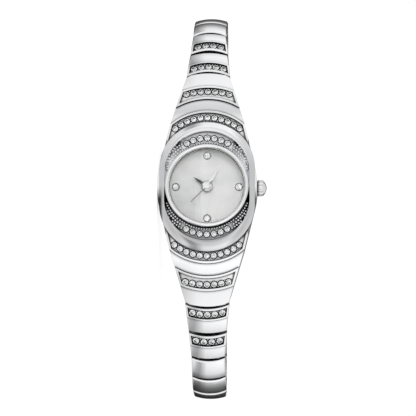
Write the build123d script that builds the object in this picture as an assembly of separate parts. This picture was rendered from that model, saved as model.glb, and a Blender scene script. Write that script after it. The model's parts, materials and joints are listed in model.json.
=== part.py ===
"""A ladies' jewelled bracelet watch, closed as it is worn.

The watch is drawn with x towards 3 o'clock, y towards 12 o'clock and z out of the dial,
from the centre of the case back's outer face. Each piece is then turned as it is stored:
lying on its 9 o'clock flank, crown up (+Z), dial towards -Y and 12 o'clock towards -X.
All sizes are in millimetres and all angles are in degrees.
"""

import math
import os

from build123d import *

# Case plan
CASE_WIDTH = 20.0
FLANK_FLAT_LENGTH = 3.2
TAPER_START_WIDTH = 19.6
TAPER_START_LENGTH = 6.4
SHOULDER_WIDTH = 15.1
SHOULDER_LENGTH = 25.0
LUG_END_WIDTH = 8.9
LUG_END_LENGTH = 45.6
HEAD_LENGTH = 48.6
OVERRUN = 1.0

# Case heights above the case back's outer face
BACK_THICKNESS = 0.5
DECK_HEIGHT = 4.9
BAND_EDGE_HEIGHT = 5.5
BAND_TOP_HEIGHT = 6.6
BEZEL_TOP_HEIGHT = 7.2
CRYSTAL_LOW = 6.1
CRYSTAL_EDGE = 0.65
CRYSTAL_DOME = 0.55

# Lug surfaces
LUG_CROWN_RADIUS = 25.7
LUG_CROWN_CENTRE_Y = 10.2
LUG_CROWN_CENTRE_Z = -20.5
LUG_CAMBER_RADIUS = 60.0
LUG_START = 7.5
PLATEAU_RISE = 0.3
UNDERSIDE_START = 9.6
UNDERSIDE_MID = (17.0, 0.3)
UNDERSIDE_END_Z = -0.62

# Zones of the head, each as its centre reach and its corner on the outline
SHOULDER_ZONE_END = (15.5, 12.6)
PLAIN_ZONE_END = (18.0, 16.2)
LUG_ZONE_END = (20.9, 19.8)
LUG_ZONE_HALF_WIDTH = 8.2

# Dial opening
OPENING_RADIUS = 7.65
BEZEL_RADIUS = 8.35
BORE_RADIUS = 7.75
BAND_MARGIN = 0.4
BAND_RADIUS = CASE_WIDTH / 2 - BAND_MARGIN
BAND_CENTRE = 3.55
WINDOW_RADIUS = 7.9
WINDOW_CENTRE = 3.1
WINDOW_TOP_RADIUS = 8.7
WINDOW_TOP_CENTRE = 2.35
WINDOW_FLOOR = 5.45
BAND_CROWN_START = 8.0
BAND_CROWN_DROP_SHARE = 0.3
BEZEL_SHOULDER_SHARE = 0.67
BEZEL_INNER_SHARE = 0.25

# Bracelet hinges
HEAD_PIN_Y = 23.0
HEAD_PIN_Z = 0.15
HEAD_END_SLOPE = 30.0
FIRST_PITCH = 6.3
SECOND_PITCH = 6.0
PLAIN_PITCH = 5.1
BACK_PITCH = 7.0
SLOPES_12 = (35.0, 38.0, 54.0, 70.0, 88.0, 117.0, 142.0, 161.0, 174.0)
SLOPES_6 = (34.5, 36.5, 44.5, 61.5, 82.0, 113.0, 140.0, 160.0, 174.0)
FIRST_END_WIDTH = 7.8
SECOND_START_WIDTH = 7.74
BRACELET_WIDTH = 6.9
CLASP_END_WIDTH = 5.6
TAPER_HINGE = 4

# Section of a link, measured from its hinge line
LINK_TOP = 1.6
LINK_BOTTOM = 0.75
LINK_CAMBER = 0.6
LINK_BARREL_RADIUS = 10.0
LINK_BOW_RADIUS = 15.0
LINK_EDGE = 0.2
LINK_GAP = 0.45
LINK_RELIEF = 0.4
RELIEF_TOP = -0.1
END_REACH = 0.35
KNUCKLE_RADIUS = 0.7
KNUCKLE_HALF_WIDTH = 1.0
EAR_OUTER = 2.2
SIDE_CLEARANCE = 0.1
ROUND_CLEARANCE = 0.12
PIN_RADIUS = 0.3
PIN_CLEARANCE = 0.04
NECK_LENGTH = 1.2
NECK_TOP = 0.3

# Stones, as diameters, pitches and places
SHOULDER_STONE = 1.3
SHOULDER_PITCH = 1.4
SHOULDER_COUNT = 11
SHOULDER_ROW_REACH = 0.87
LUG_STONE = 1.4
LUG_STONE_PITCH = 1.46
LUG_STONE_COUNT = 7
LUG_STONE_ARC_RADIUS = 17.2
LUG_STONE_ARC_CENTRE = 2.4
CRESCENT_STONE = 1.3
CRESCENT_STONE_COUNT = 7
CRESCENT_PITCH = 1.43
CRESCENT_ARC_RADIUS = 8.2
CRESCENT_ARC_CENTRE = 1.55
CRESCENT_ROOM = 0.14
CRESCENT_LEAST = 0.33
FIRST_STONE_COUNT = 5
FIRST_STONE_PITCH = 1.5
SECOND_STONE_COUNT = 4
SECOND_STONE_PITCH = 1.6
LINK_STONE = 1.45
LINK_STONE_REACH = 1.86
LINK_FIELD_END = 3.15
DIAL_STONE = 1.6
DIAL_STONE_CIRCLE = 6.2
SEAT_CLEARANCE = 0.02
CHANNEL_RIM = 0.42
CHANNEL_DEPTH = 0.34
CROWN_HEIGHT_SHARE = 0.32
PAVILION_SHARE = 0.8
TABLE_SHARE = 0.58
GIRDLE_SHARE = 0.08

# Crown and setting
CROWN_AXIS_HEIGHT = 2.45
CROWN_RADIUS = 1.65
CROWN_LENGTH = 1.85
CROWN_GAP = 0.05
CROWN_FLUTES = 12
FLUTE_DEPTH = 0.16
FLUTE_SHARES = (0.0, 0.25, 0.55, 0.8)
CROWN_EASE = 0.12
CROWN_DOME = 0.85
CROWN_BORE_RADIUS = 0.9
CROWN_BORE_DEPTH = 0.75
TUBE_RADIUS = 0.75
STEM_RADIUS = 0.2
TUBE_BORE_RADIUS = 0.26
STEM_INNER_END = 3.9
YOKE_HALF_WIDTH = 0.6
YOKE_TAIL = 1.8

# Dial and hands
DIAL_LOW = 3.8
DIAL_THICKNESS = 0.35
DIAL_RADIUS = 7.7
DIAL_HOLE_RADIUS = 0.75
DIAL_RING_INNER = 7.32
DIAL_RING_TOP_INNER = 7.5
DIAL_RING_LIP = 0.12
HOUR_HAND_LENGTH = 3.3
HOUR_HAND_WIDTH = 0.62
HOUR_HAND_LOW = 4.75
HOUR_HAND_ANGLE = 304.5
MINUTE_HAND_LENGTH = 4.7
MINUTE_HAND_WIDTH = 0.56
MINUTE_HAND_LOW = 5.05
MINUTE_HAND_ANGLE = 34.0
SECOND_HAND_LENGTH = 4.5
SECOND_HAND_TAIL = 1.5
SECOND_HAND_WIDTH = 0.16
SECOND_HAND_LOW = 5.4
SECOND_HAND_ANGLE = 225.0
HAND_THICKNESS = 0.14
LEAF_WIDEST_SHARE = 0.42
LEAF_ROOT_SHARES = (0.42, 0.55)
LEAF_TIP_SHARES = (0.3, 0.5)
HOUR_BOSS_RADIUS = 1.1
MINUTE_BOSS_RADIUS = 0.85
SECOND_BOSS_RADIUS = 0.55
HUB_TOP = 5.85

# Movement
PLATE_LOW = 2.6
PLATE_HIGH = 3.1
PLATE_RADIUS = 7.1
HOLDER_INNER = 7.15
HOLDER_OUTER = 7.7
MOVEMENT_LOW = 0.95
BRIDGE_LOW = 1.0
BRIDGE_HIGH = 1.25
BRIDGE_SHARES = (-1.0, -0.6, 0.3, 1.0)
BRIDGE_POST_SHARES = ((-0.34, -0.5), (-0.44, 0.88))
BOARD_SHARES = (0.3, 0.15, 0.82, 0.51)
CHIP_SHARES = (0.42, 0.3, 0.67, 0.55)
BATTERY_RADIUS = 2.4
BATTERY_CENTRE_Y = -4.6
BATTERY_LOW = 1.05
STRAP_THICKNESS = 0.08
STRAP_WIDTH = 1.4
STRAP_REACH = 0.47
BACK_RADIUS = 8.3
BACK_STEP = 0.4
GASKET_WIDTH = 0.25

# Going train
PIVOT_RADIUS = 0.1
PIVOT_CLEARANCE = 0.03
SECONDS_ARBOR_RADIUS = 0.15
CANNON_BORE = 0.2
CANNON_RADIUS = 0.34
HOUR_PIPE_BORE = 0.42
HOUR_PIPE_RADIUS = 0.62
WHEEL_THICKNESS = 0.12
TOOTH_HEIGHT = 0.07
MESH_GAP = 0.06
TRAIN_DISTANCE = 1.8
MOTION_DISTANCE = 1.6
STEP_DISTANCE = 1.68
ROTOR_DISTANCE = 1.4
SECONDS_TO_INTERMEDIATE = 5.0
INTERMEDIATE_TO_ROTOR = 6.0
SECONDS_TO_THIRD = 7.5
THIRD_TO_CENTRE = 8.0
MINUTE_TO_WHEEL = 3.0
WHEEL_TO_HOUR = 4.0
WHEEL_TEETH = 30
PINION_TEETH = 8
TOOTH_SHARES = (0.0, 0.3, 0.4, 0.7)
MAGNET_GAP = 0.18
SECONDS_WHEEL_LOW = 1.36
INTERMEDIATE_WHEEL_LOW = 1.66
THIRD_WHEEL_LOW = 1.96
CENTRE_WHEEL_LOW = 2.28
MINUTE_WHEEL_LOW = 3.2
HOUR_WHEEL_LOW = 3.46
ROTOR_RADIUS = 0.55
STATOR_HOLE = 0.75
STATOR_LOW = 2.3
COIL_RADIUS = 0.6
COIL_LENGTH = 5.6
COIL_X = -5.5
CORE_RADIUS = 0.25

# Clasp
CLASP_RISE = 1.2
CLASP_WIDTH = 5.4
BASE_BOTTOM = -0.7
BASE_TOP = 0.25
BASE_START = 0.9
PRONG_LENGTH = 4.2
PRONG_INNER = 1.95
PRONG_REACH = 0.3
TONGUE_HALF_WIDTH = 1.7
TONGUE_REACH = 3.2
TONGUE_TOP = 0.55
TONGUE_BOTTOM = -0.5
TONGUE_SETBACK = 1.1
COVER_HINGE = 2.6
COVER_HINGE_RISE = 0.75
COVER_BOTTOM = 0.4
COVER_TOP = 1.6
COVER_END_GAP = 6.6
COVER_EAR_RADIUS = 0.45
COVER_PIN_RADIUS = 0.2
COVER_CLEARANCE = 0.1

STORED = Plane(origin=(0, 0, 0), x_dir=(0, 0, 1), z_dir=(0, -1, 0))
SIDES = {"12": 1, "6": -1}


# Simple solids
def post(radius, low, high, x=0.0, y=0.0):
    """An upright round bar."""
    bottom = (Align.CENTER, Align.CENTER, Align.MIN)
    return Pos(x, y, low) * Cylinder(radius, high - low, align=bottom)


def tube(outer, inner, low, high, x=0.0, y=0.0):
    """An upright round tube."""
    return post(outer, low, high, x, y) - post(inner, low - OVERRUN, high + OVERRUN, x, y)


def block(low, high):
    """A box between two corners."""
    size = [b - a for a, b in zip(low, high)]
    middle = [(a + b) / 2 for a, b in zip(low, high)]
    return Pos(*middle) * Box(*size)


def bar_x(radius, start, end, y=0.0, z=0.0):
    """A round bar along x."""
    return Pos(0, y, z) * Rot(0, 90, 0) * post(radius, start, end)


def bar_y(radius, start, end, x=0.0, z=0.0):
    """A round bar along y."""
    return Pos(x, 0, z) * Rot(-90, 0, 0) * post(radius, start, end)


def slab(face, low, high):
    """A plan outline raised between two heights."""
    return extrude(Pos(0, 0, low) * face, amount=high - low)


def side_prism(face, half_width):
    """An outline in y and z carried along x, both ways."""
    return extrude(Plane.YZ * face, amount=half_width, both=True)


def across_prism(face, half_length):
    """An outline in x and z carried along y, both ways."""
    return extrude(Plane.XZ * face, amount=half_length, both=True)


def turned(points):
    """A closed profile, in radius and height, turned once about the dial's axis."""
    return revolve(Plane.XZ * make_face(Polyline(*points, close=True)), Axis.Z)


def ball_cap(radius, edge, rise):
    """A ball whose skin rises from a circle at the edge's height to a top above it."""
    ball = (radius**2 + rise**2) / (2 * rise)
    return Pos(0, 0, edge + rise - ball) * Sphere(ball)


def strip(start, end, half_start, half_end, sag_start, sag_end):
    """A plan outline with straight sides and two ends that bow the same way."""
    a, b = (-half_start, start - sag_start), (half_start, start - sag_start)
    c, d = (half_end, end - sag_end), (-half_end, end - sag_end)
    near = ThreePointArc(a, (0, start), b) if sag_start else Line(a, b)
    far = ThreePointArc(c, (0, end), d) if sag_end else Line(c, d)
    return make_face([near, Line(b, c), far, Line(d, a)])


def stadium(radius, centre):
    """Two half circles about the points centre above and below, joined by straights."""
    low, high = -centre, centre
    edges = [
        ThreePointArc((radius, high), (0, high + radius), (-radius, high)),
        Line((-radius, high), (-radius, low)),
        ThreePointArc((-radius, low), (0, low - radius), (radius, low)),
        Line((radius, low), (radius, high)),
    ]
    return make_face(edges)


def both_ends(shape):
    """A piece at 12 o'clock and its twin, turned half round, at 6 o'clock."""
    return [shape, Rot(0, 0, 180) * shape]


def group(shapes):
    """Separate solids that share one node."""
    return Compound(children=[solid for shape in shapes for solid in shape.solids()])


# Stones
def stone(diameter, spare=0.0):
    """A round stone with a table, a girdle and a point, girdle at z = 0."""
    radius = diameter / 2 + spare
    girdle = radius * GIRDLE_SHARE
    top = girdle + radius * CROWN_HEIGHT_SHARE
    points = [
        (0, -radius * PAVILION_SHARE),
        (radius, 0),
        (radius, girdle),
        (radius * TABLE_SHARE, top),
        (0, top),
    ]
    return turned(points)


def seated(places, diameters, spare=0.0):
    """Stones on a list of planes."""
    return [plane * stone(size, spare) for plane, size in zip(places, diameters)]


def row_of_arc(count, pitch, radius, centre):
    """Places along an arc about (0, centre), symmetric about 12 o'clock."""
    step = pitch / radius
    turns = [(i - (count - 1) / 2) * step for i in range(count)]
    return [(radius * math.sin(t), centre + radius * math.cos(t)) for t in turns]


def lug_plane(x, y, rise):
    """The tangent plane of the crowned lug surface at a plan point."""
    crown = LUG_CROWN_RADIUS + rise - x * x / (2 * LUG_CAMBER_RADIUS)
    reach = y - LUG_CROWN_CENTRE_Y
    height = LUG_CROWN_CENTRE_Z + math.sqrt(crown**2 - reach**2)
    normal = (x / LUG_CAMBER_RADIUS, reach / crown, math.sqrt(1 - (reach / crown) ** 2))
    return Plane(origin=(x, y, height), x_dir=(1, 0, 0), z_dir=normal)


def shoulder_places():
    arc = (SHOULDER_PITCH, BAND_RADIUS + SHOULDER_ROW_REACH, BAND_CENTRE)
    rise = PLATEAU_RISE - CHANNEL_DEPTH
    return [lug_plane(x, y, rise) for x, y in row_of_arc(SHOULDER_COUNT, *arc)]


def lug_places():
    arc = (LUG_STONE_PITCH, LUG_STONE_ARC_RADIUS, LUG_STONE_ARC_CENTRE)
    rise = PLATEAU_RISE - CHANNEL_DEPTH
    return [lug_plane(x, y, rise) for x, y in row_of_arc(LUG_STONE_COUNT, *arc)]


def crescent_row():
    """Places and sizes in a crescent, smaller where its room runs out."""
    places, sizes = [], []
    arc = (CRESCENT_PITCH, CRESCENT_ARC_RADIUS, CRESCENT_ARC_CENTRE)
    for x, y in row_of_arc(CRESCENT_STONE_COUNT, *arc):
        to_bezel = math.hypot(x, y) - BEZEL_RADIUS
        to_window = WINDOW_RADIUS - math.hypot(x, y - WINDOW_CENTRE)
        room = 2 * (min(to_bezel, to_window) - CRESCENT_ROOM)
        if room > CRESCENT_LEAST:
            places.append(Plane(origin=(x, y, WINDOW_FLOOR), x_dir=(1, 0, 0), z_dir=(0, 0, 1)))
            sizes.append(min(CRESCENT_STONE, room))
    return places, sizes


def end_stones(places, sizes):
    """One row of stones at each end of the watch."""
    return group([twin for one in seated(places, sizes) for twin in both_ends(one)])


def end_seats(places, sizes):
    """Seats for one row of stones at each end of the watch."""
    seats = seated(places, sizes, SEAT_CLEARANCE)
    return [twin for one in seats for twin in both_ends(one)]


# Case
def half_outline():
    """The corner points of the outline's right half, from 9 to 12 o'clock's side."""
    return [
        (CASE_WIDTH / 2, FLANK_FLAT_LENGTH / 2),
        (TAPER_START_WIDTH / 2, TAPER_START_LENGTH / 2),
        (SHOULDER_WIDTH / 2, SHOULDER_LENGTH / 2),
        (LUG_END_WIDTH / 2, LUG_END_LENGTH / 2),
    ]


def head_outline():
    """The plan of the head: flat flanks, tapers to the lugs and bowed ends."""
    right = half_outline()
    upper_left = [(-x, y) for x, y in reversed(right)]
    lower_left = [(-x, -y) for x, y in right]
    lower_right = [(x, -y) for x, y in reversed(right)]
    tip, foot = (0, HEAD_LENGTH / 2), (0, -HEAD_LENGTH / 2)
    edges = [
        Polyline(*right),
        ThreePointArc(right[-1], tip, upper_left[0]),
        Polyline(*upper_left),
        Line(upper_left[-1], lower_left[0]),
        Polyline(*lower_left),
        ThreePointArc(lower_left[-1], foot, lower_right[0]),
        Polyline(*lower_right),
        Line(lower_right[-1], right[0]),
    ]
    return make_face(edges)


def lug_crown(rise):
    """The barrel whose skin is the 12 o'clock lug's top."""
    radius = LUG_CROWN_RADIUS + rise
    half = CASE_WIDTH / 2 + OVERRUN
    edge = radius - half**2 / (2 * LUG_CAMBER_RADIUS)
    middle = Plane(
        origin=(0, LUG_CROWN_CENTRE_Y, LUG_CROWN_CENTRE_Z), x_dir=(1, 0, 0), z_dir=(0, -1, 0)
    )
    edges = [
        Line((-half, 0), (half, 0)),
        Line((half, 0), (half, edge)),
        ThreePointArc((half, edge), (0, radius), (-half, edge)),
        Line((-half, edge), (-half, 0)),
    ]
    axis = Axis((0, LUG_CROWN_CENTRE_Y, LUG_CROWN_CENTRE_Z), (1, 0, 0))
    return revolve(middle * make_face(edges), axis)


def shoulder_zone(rim=0.0):
    """The stone field beside the oval band, as an upright prism, inside a rim."""
    half = LUG_ZONE_HALF_WIDTH
    sag = zone_sag(SHOULDER_ZONE_END, half)
    return slab(strip(0, SHOULDER_ZONE_END[0] - rim, half, half, 0, sag), 0, CASE_WIDTH)


def lug_zone(rim=0.0):
    """The stone field between the two plain zones, as an upright prism, inside a rim."""
    half = LUG_ZONE_HALF_WIDTH
    sags = [zone_sag(line, half) for line in (PLAIN_ZONE_END, LUG_ZONE_END)]
    near, far = PLAIN_ZONE_END[0] + rim, LUG_ZONE_END[0] - rim
    return slab(strip(near, far, half, half, *sags), 0, CASE_WIDTH)


def lug_channels():
    """The sunk floors of both stone fields of one lug, as a solid to cut away."""
    inside = slab(offset(head_outline(), amount=-CHANNEL_RIM, kind=Kind.INTERSECTION), 0, CASE_WIDTH)
    fields = shoulder_zone(CHANNEL_RIM) + lug_zone(CHANNEL_RIM)
    return (inside & fields) - lug_crown(PLATEAU_RISE - CHANNEL_DEPTH)


def zone_sag(line, half):
    """How far a zone line falls at a half width, from its reach and its corner."""
    reach, corner = line
    corner_half = outline_half_width(corner)
    sag = reach - corner
    radius = (corner_half**2 + sag**2) / (2 * sag)
    return radius - math.sqrt(radius**2 - half**2)


def outline_half_width(y):
    """The outline's half width at a distance from the centre, beyond its flats."""
    points = half_outline()
    for (x0, y0), (x1, y1) in zip(points, points[1:]):
        if y0 <= y <= y1:
            return x0 + (x1 - x0) * (y - y0) / (y1 - y0)
    return LUG_END_WIDTH / 2


def underside():
    """The hollow under one lug, as a solid to cut away."""
    end = HEAD_LENGTH / 2 + OVERRUN
    low = -CASE_WIDTH
    start, mid = (UNDERSIDE_START, BACK_THICKNESS), UNDERSIDE_MID
    edges = [
        ThreePointArc(start, mid, (end, UNDERSIDE_END_Z)),
        Line((end, UNDERSIDE_END_Z), (end, low)),
        Line((end, low), (0, low)),
        Line((0, low), (0, BACK_THICKNESS)),
        Line((0, BACK_THICKNESS), start),
    ]
    return side_prism(make_face(edges), CASE_WIDTH)


def bow_sag(half):
    """How far a bowed end falls back at a half width."""
    return LINK_BOW_RADIUS - math.sqrt(LINK_BOW_RADIUS**2 - half**2)


def lug_end_tool():
    """What is cut off the lug end, in the frame of the head's hinge."""
    half = LUG_END_WIDTH / 2 + OVERRUN
    sag = bow_sag(half)
    face_end = END_REACH - LINK_GAP / 2
    far = HEAD_LENGTH
    plan = strip(face_end, far, half, half, sag, 0)
    lower = strip(face_end - LINK_RELIEF, far, half, half, sag, 0)
    top = slab(plan, RELIEF_TOP, LINK_TOP + PLATEAU_RISE + OVERRUN)
    return top + slab(lower, -HEAD_LENGTH / 4, RELIEF_TOP)


def case_body():
    """The rigid head: deck, two crowned lugs, stone plateaus, bore and hinge ears."""
    outline = slab(head_outline(), -CASE_WIDTH, CASE_WIDTH)
    half, long = CASE_WIDTH / 2 + OVERRUN, HEAD_LENGTH / 2 + OVERRUN
    middle = block((-half, -LUG_START, -CASE_WIDTH), (half, LUG_START, DECK_HEIGHT))
    lug_half = block((-half, LUG_START, -CASE_WIDTH), (half, long, CASE_WIDTH))
    plateaus = lug_crown(PLATEAU_RISE) & (shoulder_zone() + lug_zone())
    lug = lug_half & (lug_crown(0) + plateaus)
    body = outline & (middle + both_ends(lug)[0] + both_ends(lug)[1])
    for side in both_ends(underside()):
        body -= side
    body -= slab(stadium(BAND_RADIUS, BAND_CENTRE), DECK_HEIGHT, BAND_TOP_HEIGHT)
    body -= post(BORE_RADIUS, -OVERRUN, DECK_HEIGHT + OVERRUN)
    body = cut_lug_ends(body)
    for channel in both_ends(lug_channels()):
        body -= channel
    for seat in end_seats(shoulder_places(), [SHOULDER_STONE] * SHOULDER_COUNT):
        body -= seat
    for seat in end_seats(lug_places(), [LUG_STONE] * LUG_STONE_COUNT):
        body -= seat
    body -= bar_x(TUBE_RADIUS, 0, CASE_WIDTH, z=CROWN_AXIS_HEIGHT)
    return body


def cut_lug_ends(body):
    """Shapes both lug ends into hinges for the first links."""
    for side in SIDES:
        frame = head_frame(side)
        body -= frame * lug_end_tool()
        body -= frame * knuckle_pocket(0)
        body += frame * ears(0)
        body -= frame * bar_x(PIN_RADIUS, -EAR_OUTER, EAR_OUTER)
    return body


def window():
    """The flared opening for the crescents, as a solid to cut away."""
    floor = Pos(0, 0, WINDOW_FLOOR) * stadium(WINDOW_RADIUS, WINDOW_CENTRE)
    top = stadium(WINDOW_TOP_RADIUS, WINDOW_TOP_CENTRE)
    flare = loft([floor, Pos(0, 0, BAND_TOP_HEIGHT) * top])
    return flare + slab(top, BAND_TOP_HEIGHT, BAND_TOP_HEIGHT + OVERRUN)


def oval_band():
    """The domed oval band with its crescent windows and their floors."""
    crown = (BAND_RADIUS + BAND_CROWN_START) / 2
    crown_rise = BAND_TOP_HEIGHT - (BAND_TOP_HEIGHT - BAND_EDGE_HEIGHT) * BAND_CROWN_DROP_SHARE
    edges = [
        Line((0, DECK_HEIGHT), (BAND_RADIUS, DECK_HEIGHT)),
        Line((BAND_RADIUS, DECK_HEIGHT), (BAND_RADIUS, BAND_EDGE_HEIGHT)),
        ThreePointArc(
            (BAND_RADIUS, BAND_EDGE_HEIGHT), (crown, crown_rise), (BAND_CROWN_START, BAND_TOP_HEIGHT)
        ),
        Line((BAND_CROWN_START, BAND_TOP_HEIGHT), (0, BAND_TOP_HEIGHT)),
        Line((0, BAND_TOP_HEIGHT), (0, DECK_HEIGHT)),
    ]
    profile = make_face(edges)
    end = Pos(0, BAND_CENTRE, 0) * revolve(Plane.XZ * profile, Axis.Z, revolution_arc=360)
    half = across_prism(profile, BAND_CENTRE)
    loaf = half + mirror(half, Plane.YZ)
    for twin in both_ends(end):
        loaf += twin
    loaf -= window()
    loaf -= post(BEZEL_RADIUS, 0, BAND_TOP_HEIGHT + OVERRUN)
    for seat in end_seats(*crescent_row()):
        loaf -= seat
    return loaf


def bezel_ring():
    """The polished ring round the crystal."""
    wall = BEZEL_RADIUS - OPENING_RADIUS
    shoulder = BEZEL_TOP_HEIGHT - wall * BEZEL_SHOULDER_SHARE
    inner_top = BEZEL_TOP_HEIGHT - wall * BEZEL_INNER_SHARE
    edges = [
        Polyline(
            (BEZEL_RADIUS, shoulder),
            (BEZEL_RADIUS, DECK_HEIGHT),
            (OPENING_RADIUS, DECK_HEIGHT),
            (OPENING_RADIUS, inner_top),
        ),
        ThreePointArc(
            (OPENING_RADIUS, inner_top),
            (OPENING_RADIUS + wall / 2, BEZEL_TOP_HEIGHT),
            (BEZEL_RADIUS, shoulder),
        ),
    ]
    return revolve(Plane.XZ * make_face(edges), Axis.Z)


def crystal():
    """The domed glass."""
    radius = DIAL_RING_TOP_INNER
    edge = CRYSTAL_LOW + CRYSTAL_EDGE
    glass = post(radius, CRYSTAL_LOW, edge + CRYSTAL_DOME)
    return glass & ball_cap(radius, edge, CRYSTAL_DOME)


def crystal_gasket():
    return tube(OPENING_RADIUS, DIAL_RING_TOP_INNER, CRYSTAL_LOW, CRYSTAL_LOW + CRYSTAL_EDGE)


def dial_ring():
    """The sloping ring between the dial and the crystal."""
    dial_top = DIAL_LOW + DIAL_THICKNESS
    points = [
        (DIAL_RING_INNER, dial_top),
        (BORE_RADIUS - SIDE_CLEARANCE / 2, dial_top),
        (BORE_RADIUS - SIDE_CLEARANCE / 2, DECK_HEIGHT),
        (OPENING_RADIUS, DECK_HEIGHT),
        (OPENING_RADIUS, CRYSTAL_LOW),
        (DIAL_RING_TOP_INNER - DIAL_RING_LIP, CRYSTAL_LOW),
    ]
    return turned(points)


def case_back():
    """The pressed-in back with its step into the bore."""
    plate = post(BACK_RADIUS, 0, BACK_THICKNESS)
    step = post(BORE_RADIUS - GASKET_WIDTH, BACK_THICKNESS, BACK_THICKNESS + BACK_STEP)
    return plate + step


def case_back_gasket():
    return tube(BORE_RADIUS, BORE_RADIUS - GASKET_WIDTH, BACK_THICKNESS, BACK_THICKNESS + BACK_STEP)


# Dial and hands
def dial():
    disc = tube(DIAL_RADIUS, DIAL_HOLE_RADIUS, DIAL_LOW, DIAL_LOW + DIAL_THICKNESS)
    for seat in seated(*dial_stone_row(), SEAT_CLEARANCE):
        disc -= seat
    return disc


def dial_stone_row():
    """The four stones of the dial."""
    girdle = DIAL_LOW + DIAL_THICKNESS
    places = []
    for quarter in range(4):
        turn = math.radians(quarter * 90)
        x, y = DIAL_STONE_CIRCLE * math.sin(turn), DIAL_STONE_CIRCLE * math.cos(turn)
        places.append(Plane(origin=(x, y, girdle), x_dir=(1, 0, 0), z_dir=(0, 0, 1)))
    return places, [DIAL_STONE] * 4


def leaf(length, width, low, clock_angle):
    """A leaf hand that points to a clock angle."""
    widest = length * LEAF_WIDEST_SHARE
    right, left = (width / 2, widest), (-width / 2, widest)
    tip, root = (0, length), (0, 0)
    root_x, root_y = width * LEAF_ROOT_SHARES[0], widest * LEAF_ROOT_SHARES[1]
    tip_x, tip_y = width * LEAF_TIP_SHARES[0], widest + (length - widest) * LEAF_TIP_SHARES[1]
    side = [
        ThreePointArc(root, (root_x, root_y), right),
        ThreePointArc(right, (tip_x, tip_y), tip),
        ThreePointArc(tip, (-tip_x, tip_y), left),
        ThreePointArc(left, (-root_x, root_y), root),
    ]
    blade = slab(make_face(side), low, low + HAND_THICKNESS)
    return Rot(0, 0, -clock_angle) * blade


def hour_hand():
    top = HOUR_HAND_LOW + HAND_THICKNESS
    hand = leaf(HOUR_HAND_LENGTH, HOUR_HAND_WIDTH, HOUR_HAND_LOW, HOUR_HAND_ANGLE)
    hand += post(HOUR_BOSS_RADIUS, HOUR_HAND_LOW, top)
    return hand - post(HOUR_PIPE_RADIUS, 0, CASE_WIDTH)


def minute_hand():
    top = MINUTE_HAND_LOW + HAND_THICKNESS
    hand = leaf(MINUTE_HAND_LENGTH, MINUTE_HAND_WIDTH, MINUTE_HAND_LOW, MINUTE_HAND_ANGLE)
    hand += post(MINUTE_BOSS_RADIUS, MINUTE_HAND_LOW, top)
    return hand - post(CANNON_RADIUS, 0, CASE_WIDTH)


def second_hand():
    half = SECOND_HAND_WIDTH / 2
    low, top = SECOND_HAND_LOW, SECOND_HAND_LOW + HAND_THICKNESS
    needle = block((-half, -SECOND_HAND_TAIL, low), (half, SECOND_HAND_LENGTH, top))
    needle = Rot(0, 0, -SECOND_HAND_ANGLE) * needle
    needle += post(SECOND_BOSS_RADIUS, low, HUB_TOP)
    return needle - post(SECONDS_ARBOR_RADIUS, 0, top)


# Going train
def gear(radius, teeth, low, high, x=0.0, y=0.0):
    """A toothed disc whose tips stand at radius."""
    root = radius - TOOTH_HEIGHT
    points = []
    for tooth in range(teeth):
        for part_share, reach in zip(TOOTH_SHARES, (root, root, radius, radius)):
            turn = 2 * math.pi * (tooth + part_share) / teeth
            points.append((reach * math.cos(turn), reach * math.sin(turn)))
    face = make_face(Polyline(*points, close=True))
    return Pos(x, y, 0) * slab(face, low, high)


def mesh_radii(distance, ratio):
    """The tip radii of a pinion and its wheel, ratio times larger, just clear of each other."""
    pinion = distance / (1 + ratio)
    return pinion - MESH_GAP / 2, pinion * ratio - MESH_GAP / 2


def seconds_wheel():
    pinion, _ = mesh_radii(TRAIN_DISTANCE, SECONDS_TO_THIRD)
    _, wheel = mesh_radii(STEP_DISTANCE, SECONDS_TO_INTERMEDIATE)
    low = SECONDS_WHEEL_LOW
    part = gear(wheel, WHEEL_TEETH, low, low + WHEEL_THICKNESS)
    part += gear(pinion, PINION_TEETH, low + WHEEL_THICKNESS, CENTRE_WHEEL_LOW - MESH_GAP)
    arbor_top = SECOND_HAND_LOW + HAND_THICKNESS
    part += post(SECONDS_ARBOR_RADIUS, low, arbor_top)
    return part + post(PIVOT_RADIUS, BRIDGE_LOW, low)


def intermediate_wheel():
    pinion, _ = mesh_radii(STEP_DISTANCE, SECONDS_TO_INTERMEDIATE)
    _, wheel = mesh_radii(ROTOR_DISTANCE, INTERMEDIATE_TO_ROTOR)
    low, x = INTERMEDIATE_WHEEL_LOW, -STEP_DISTANCE
    part = gear(wheel, WHEEL_TEETH, low, low + WHEEL_THICKNESS, x)
    part += gear(pinion, PINION_TEETH, BRIDGE_HIGH + MESH_GAP, low, x)
    return part + post(PIVOT_RADIUS, BRIDGE_LOW, PLATE_HIGH, x)


def rotor():
    pinion, _ = mesh_radii(ROTOR_DISTANCE, INTERMEDIATE_TO_ROTOR)
    x = -STEP_DISTANCE - ROTOR_DISTANCE
    low = INTERMEDIATE_WHEEL_LOW - MESH_GAP
    magnet_low = STATOR_LOW - MAGNET_GAP
    part = gear(pinion, PINION_TEETH, low, magnet_low, x)
    part += post(ROTOR_RADIUS, magnet_low, PLATE_LOW - MESH_GAP, x)
    return part + post(PIVOT_RADIUS, BRIDGE_LOW, PLATE_HIGH, x)


def third_wheel():
    _, wheel = mesh_radii(TRAIN_DISTANCE, SECONDS_TO_THIRD)
    pinion, _ = mesh_radii(TRAIN_DISTANCE, THIRD_TO_CENTRE)
    low, y = THIRD_WHEEL_LOW, TRAIN_DISTANCE
    part = gear(wheel, WHEEL_TEETH, low, low + WHEEL_THICKNESS, 0, y)
    part += gear(pinion, PINION_TEETH, low + WHEEL_THICKNESS, PLATE_LOW - MESH_GAP, 0, y)
    return part + post(PIVOT_RADIUS, BRIDGE_LOW, PLATE_HIGH, 0, y)


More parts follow.
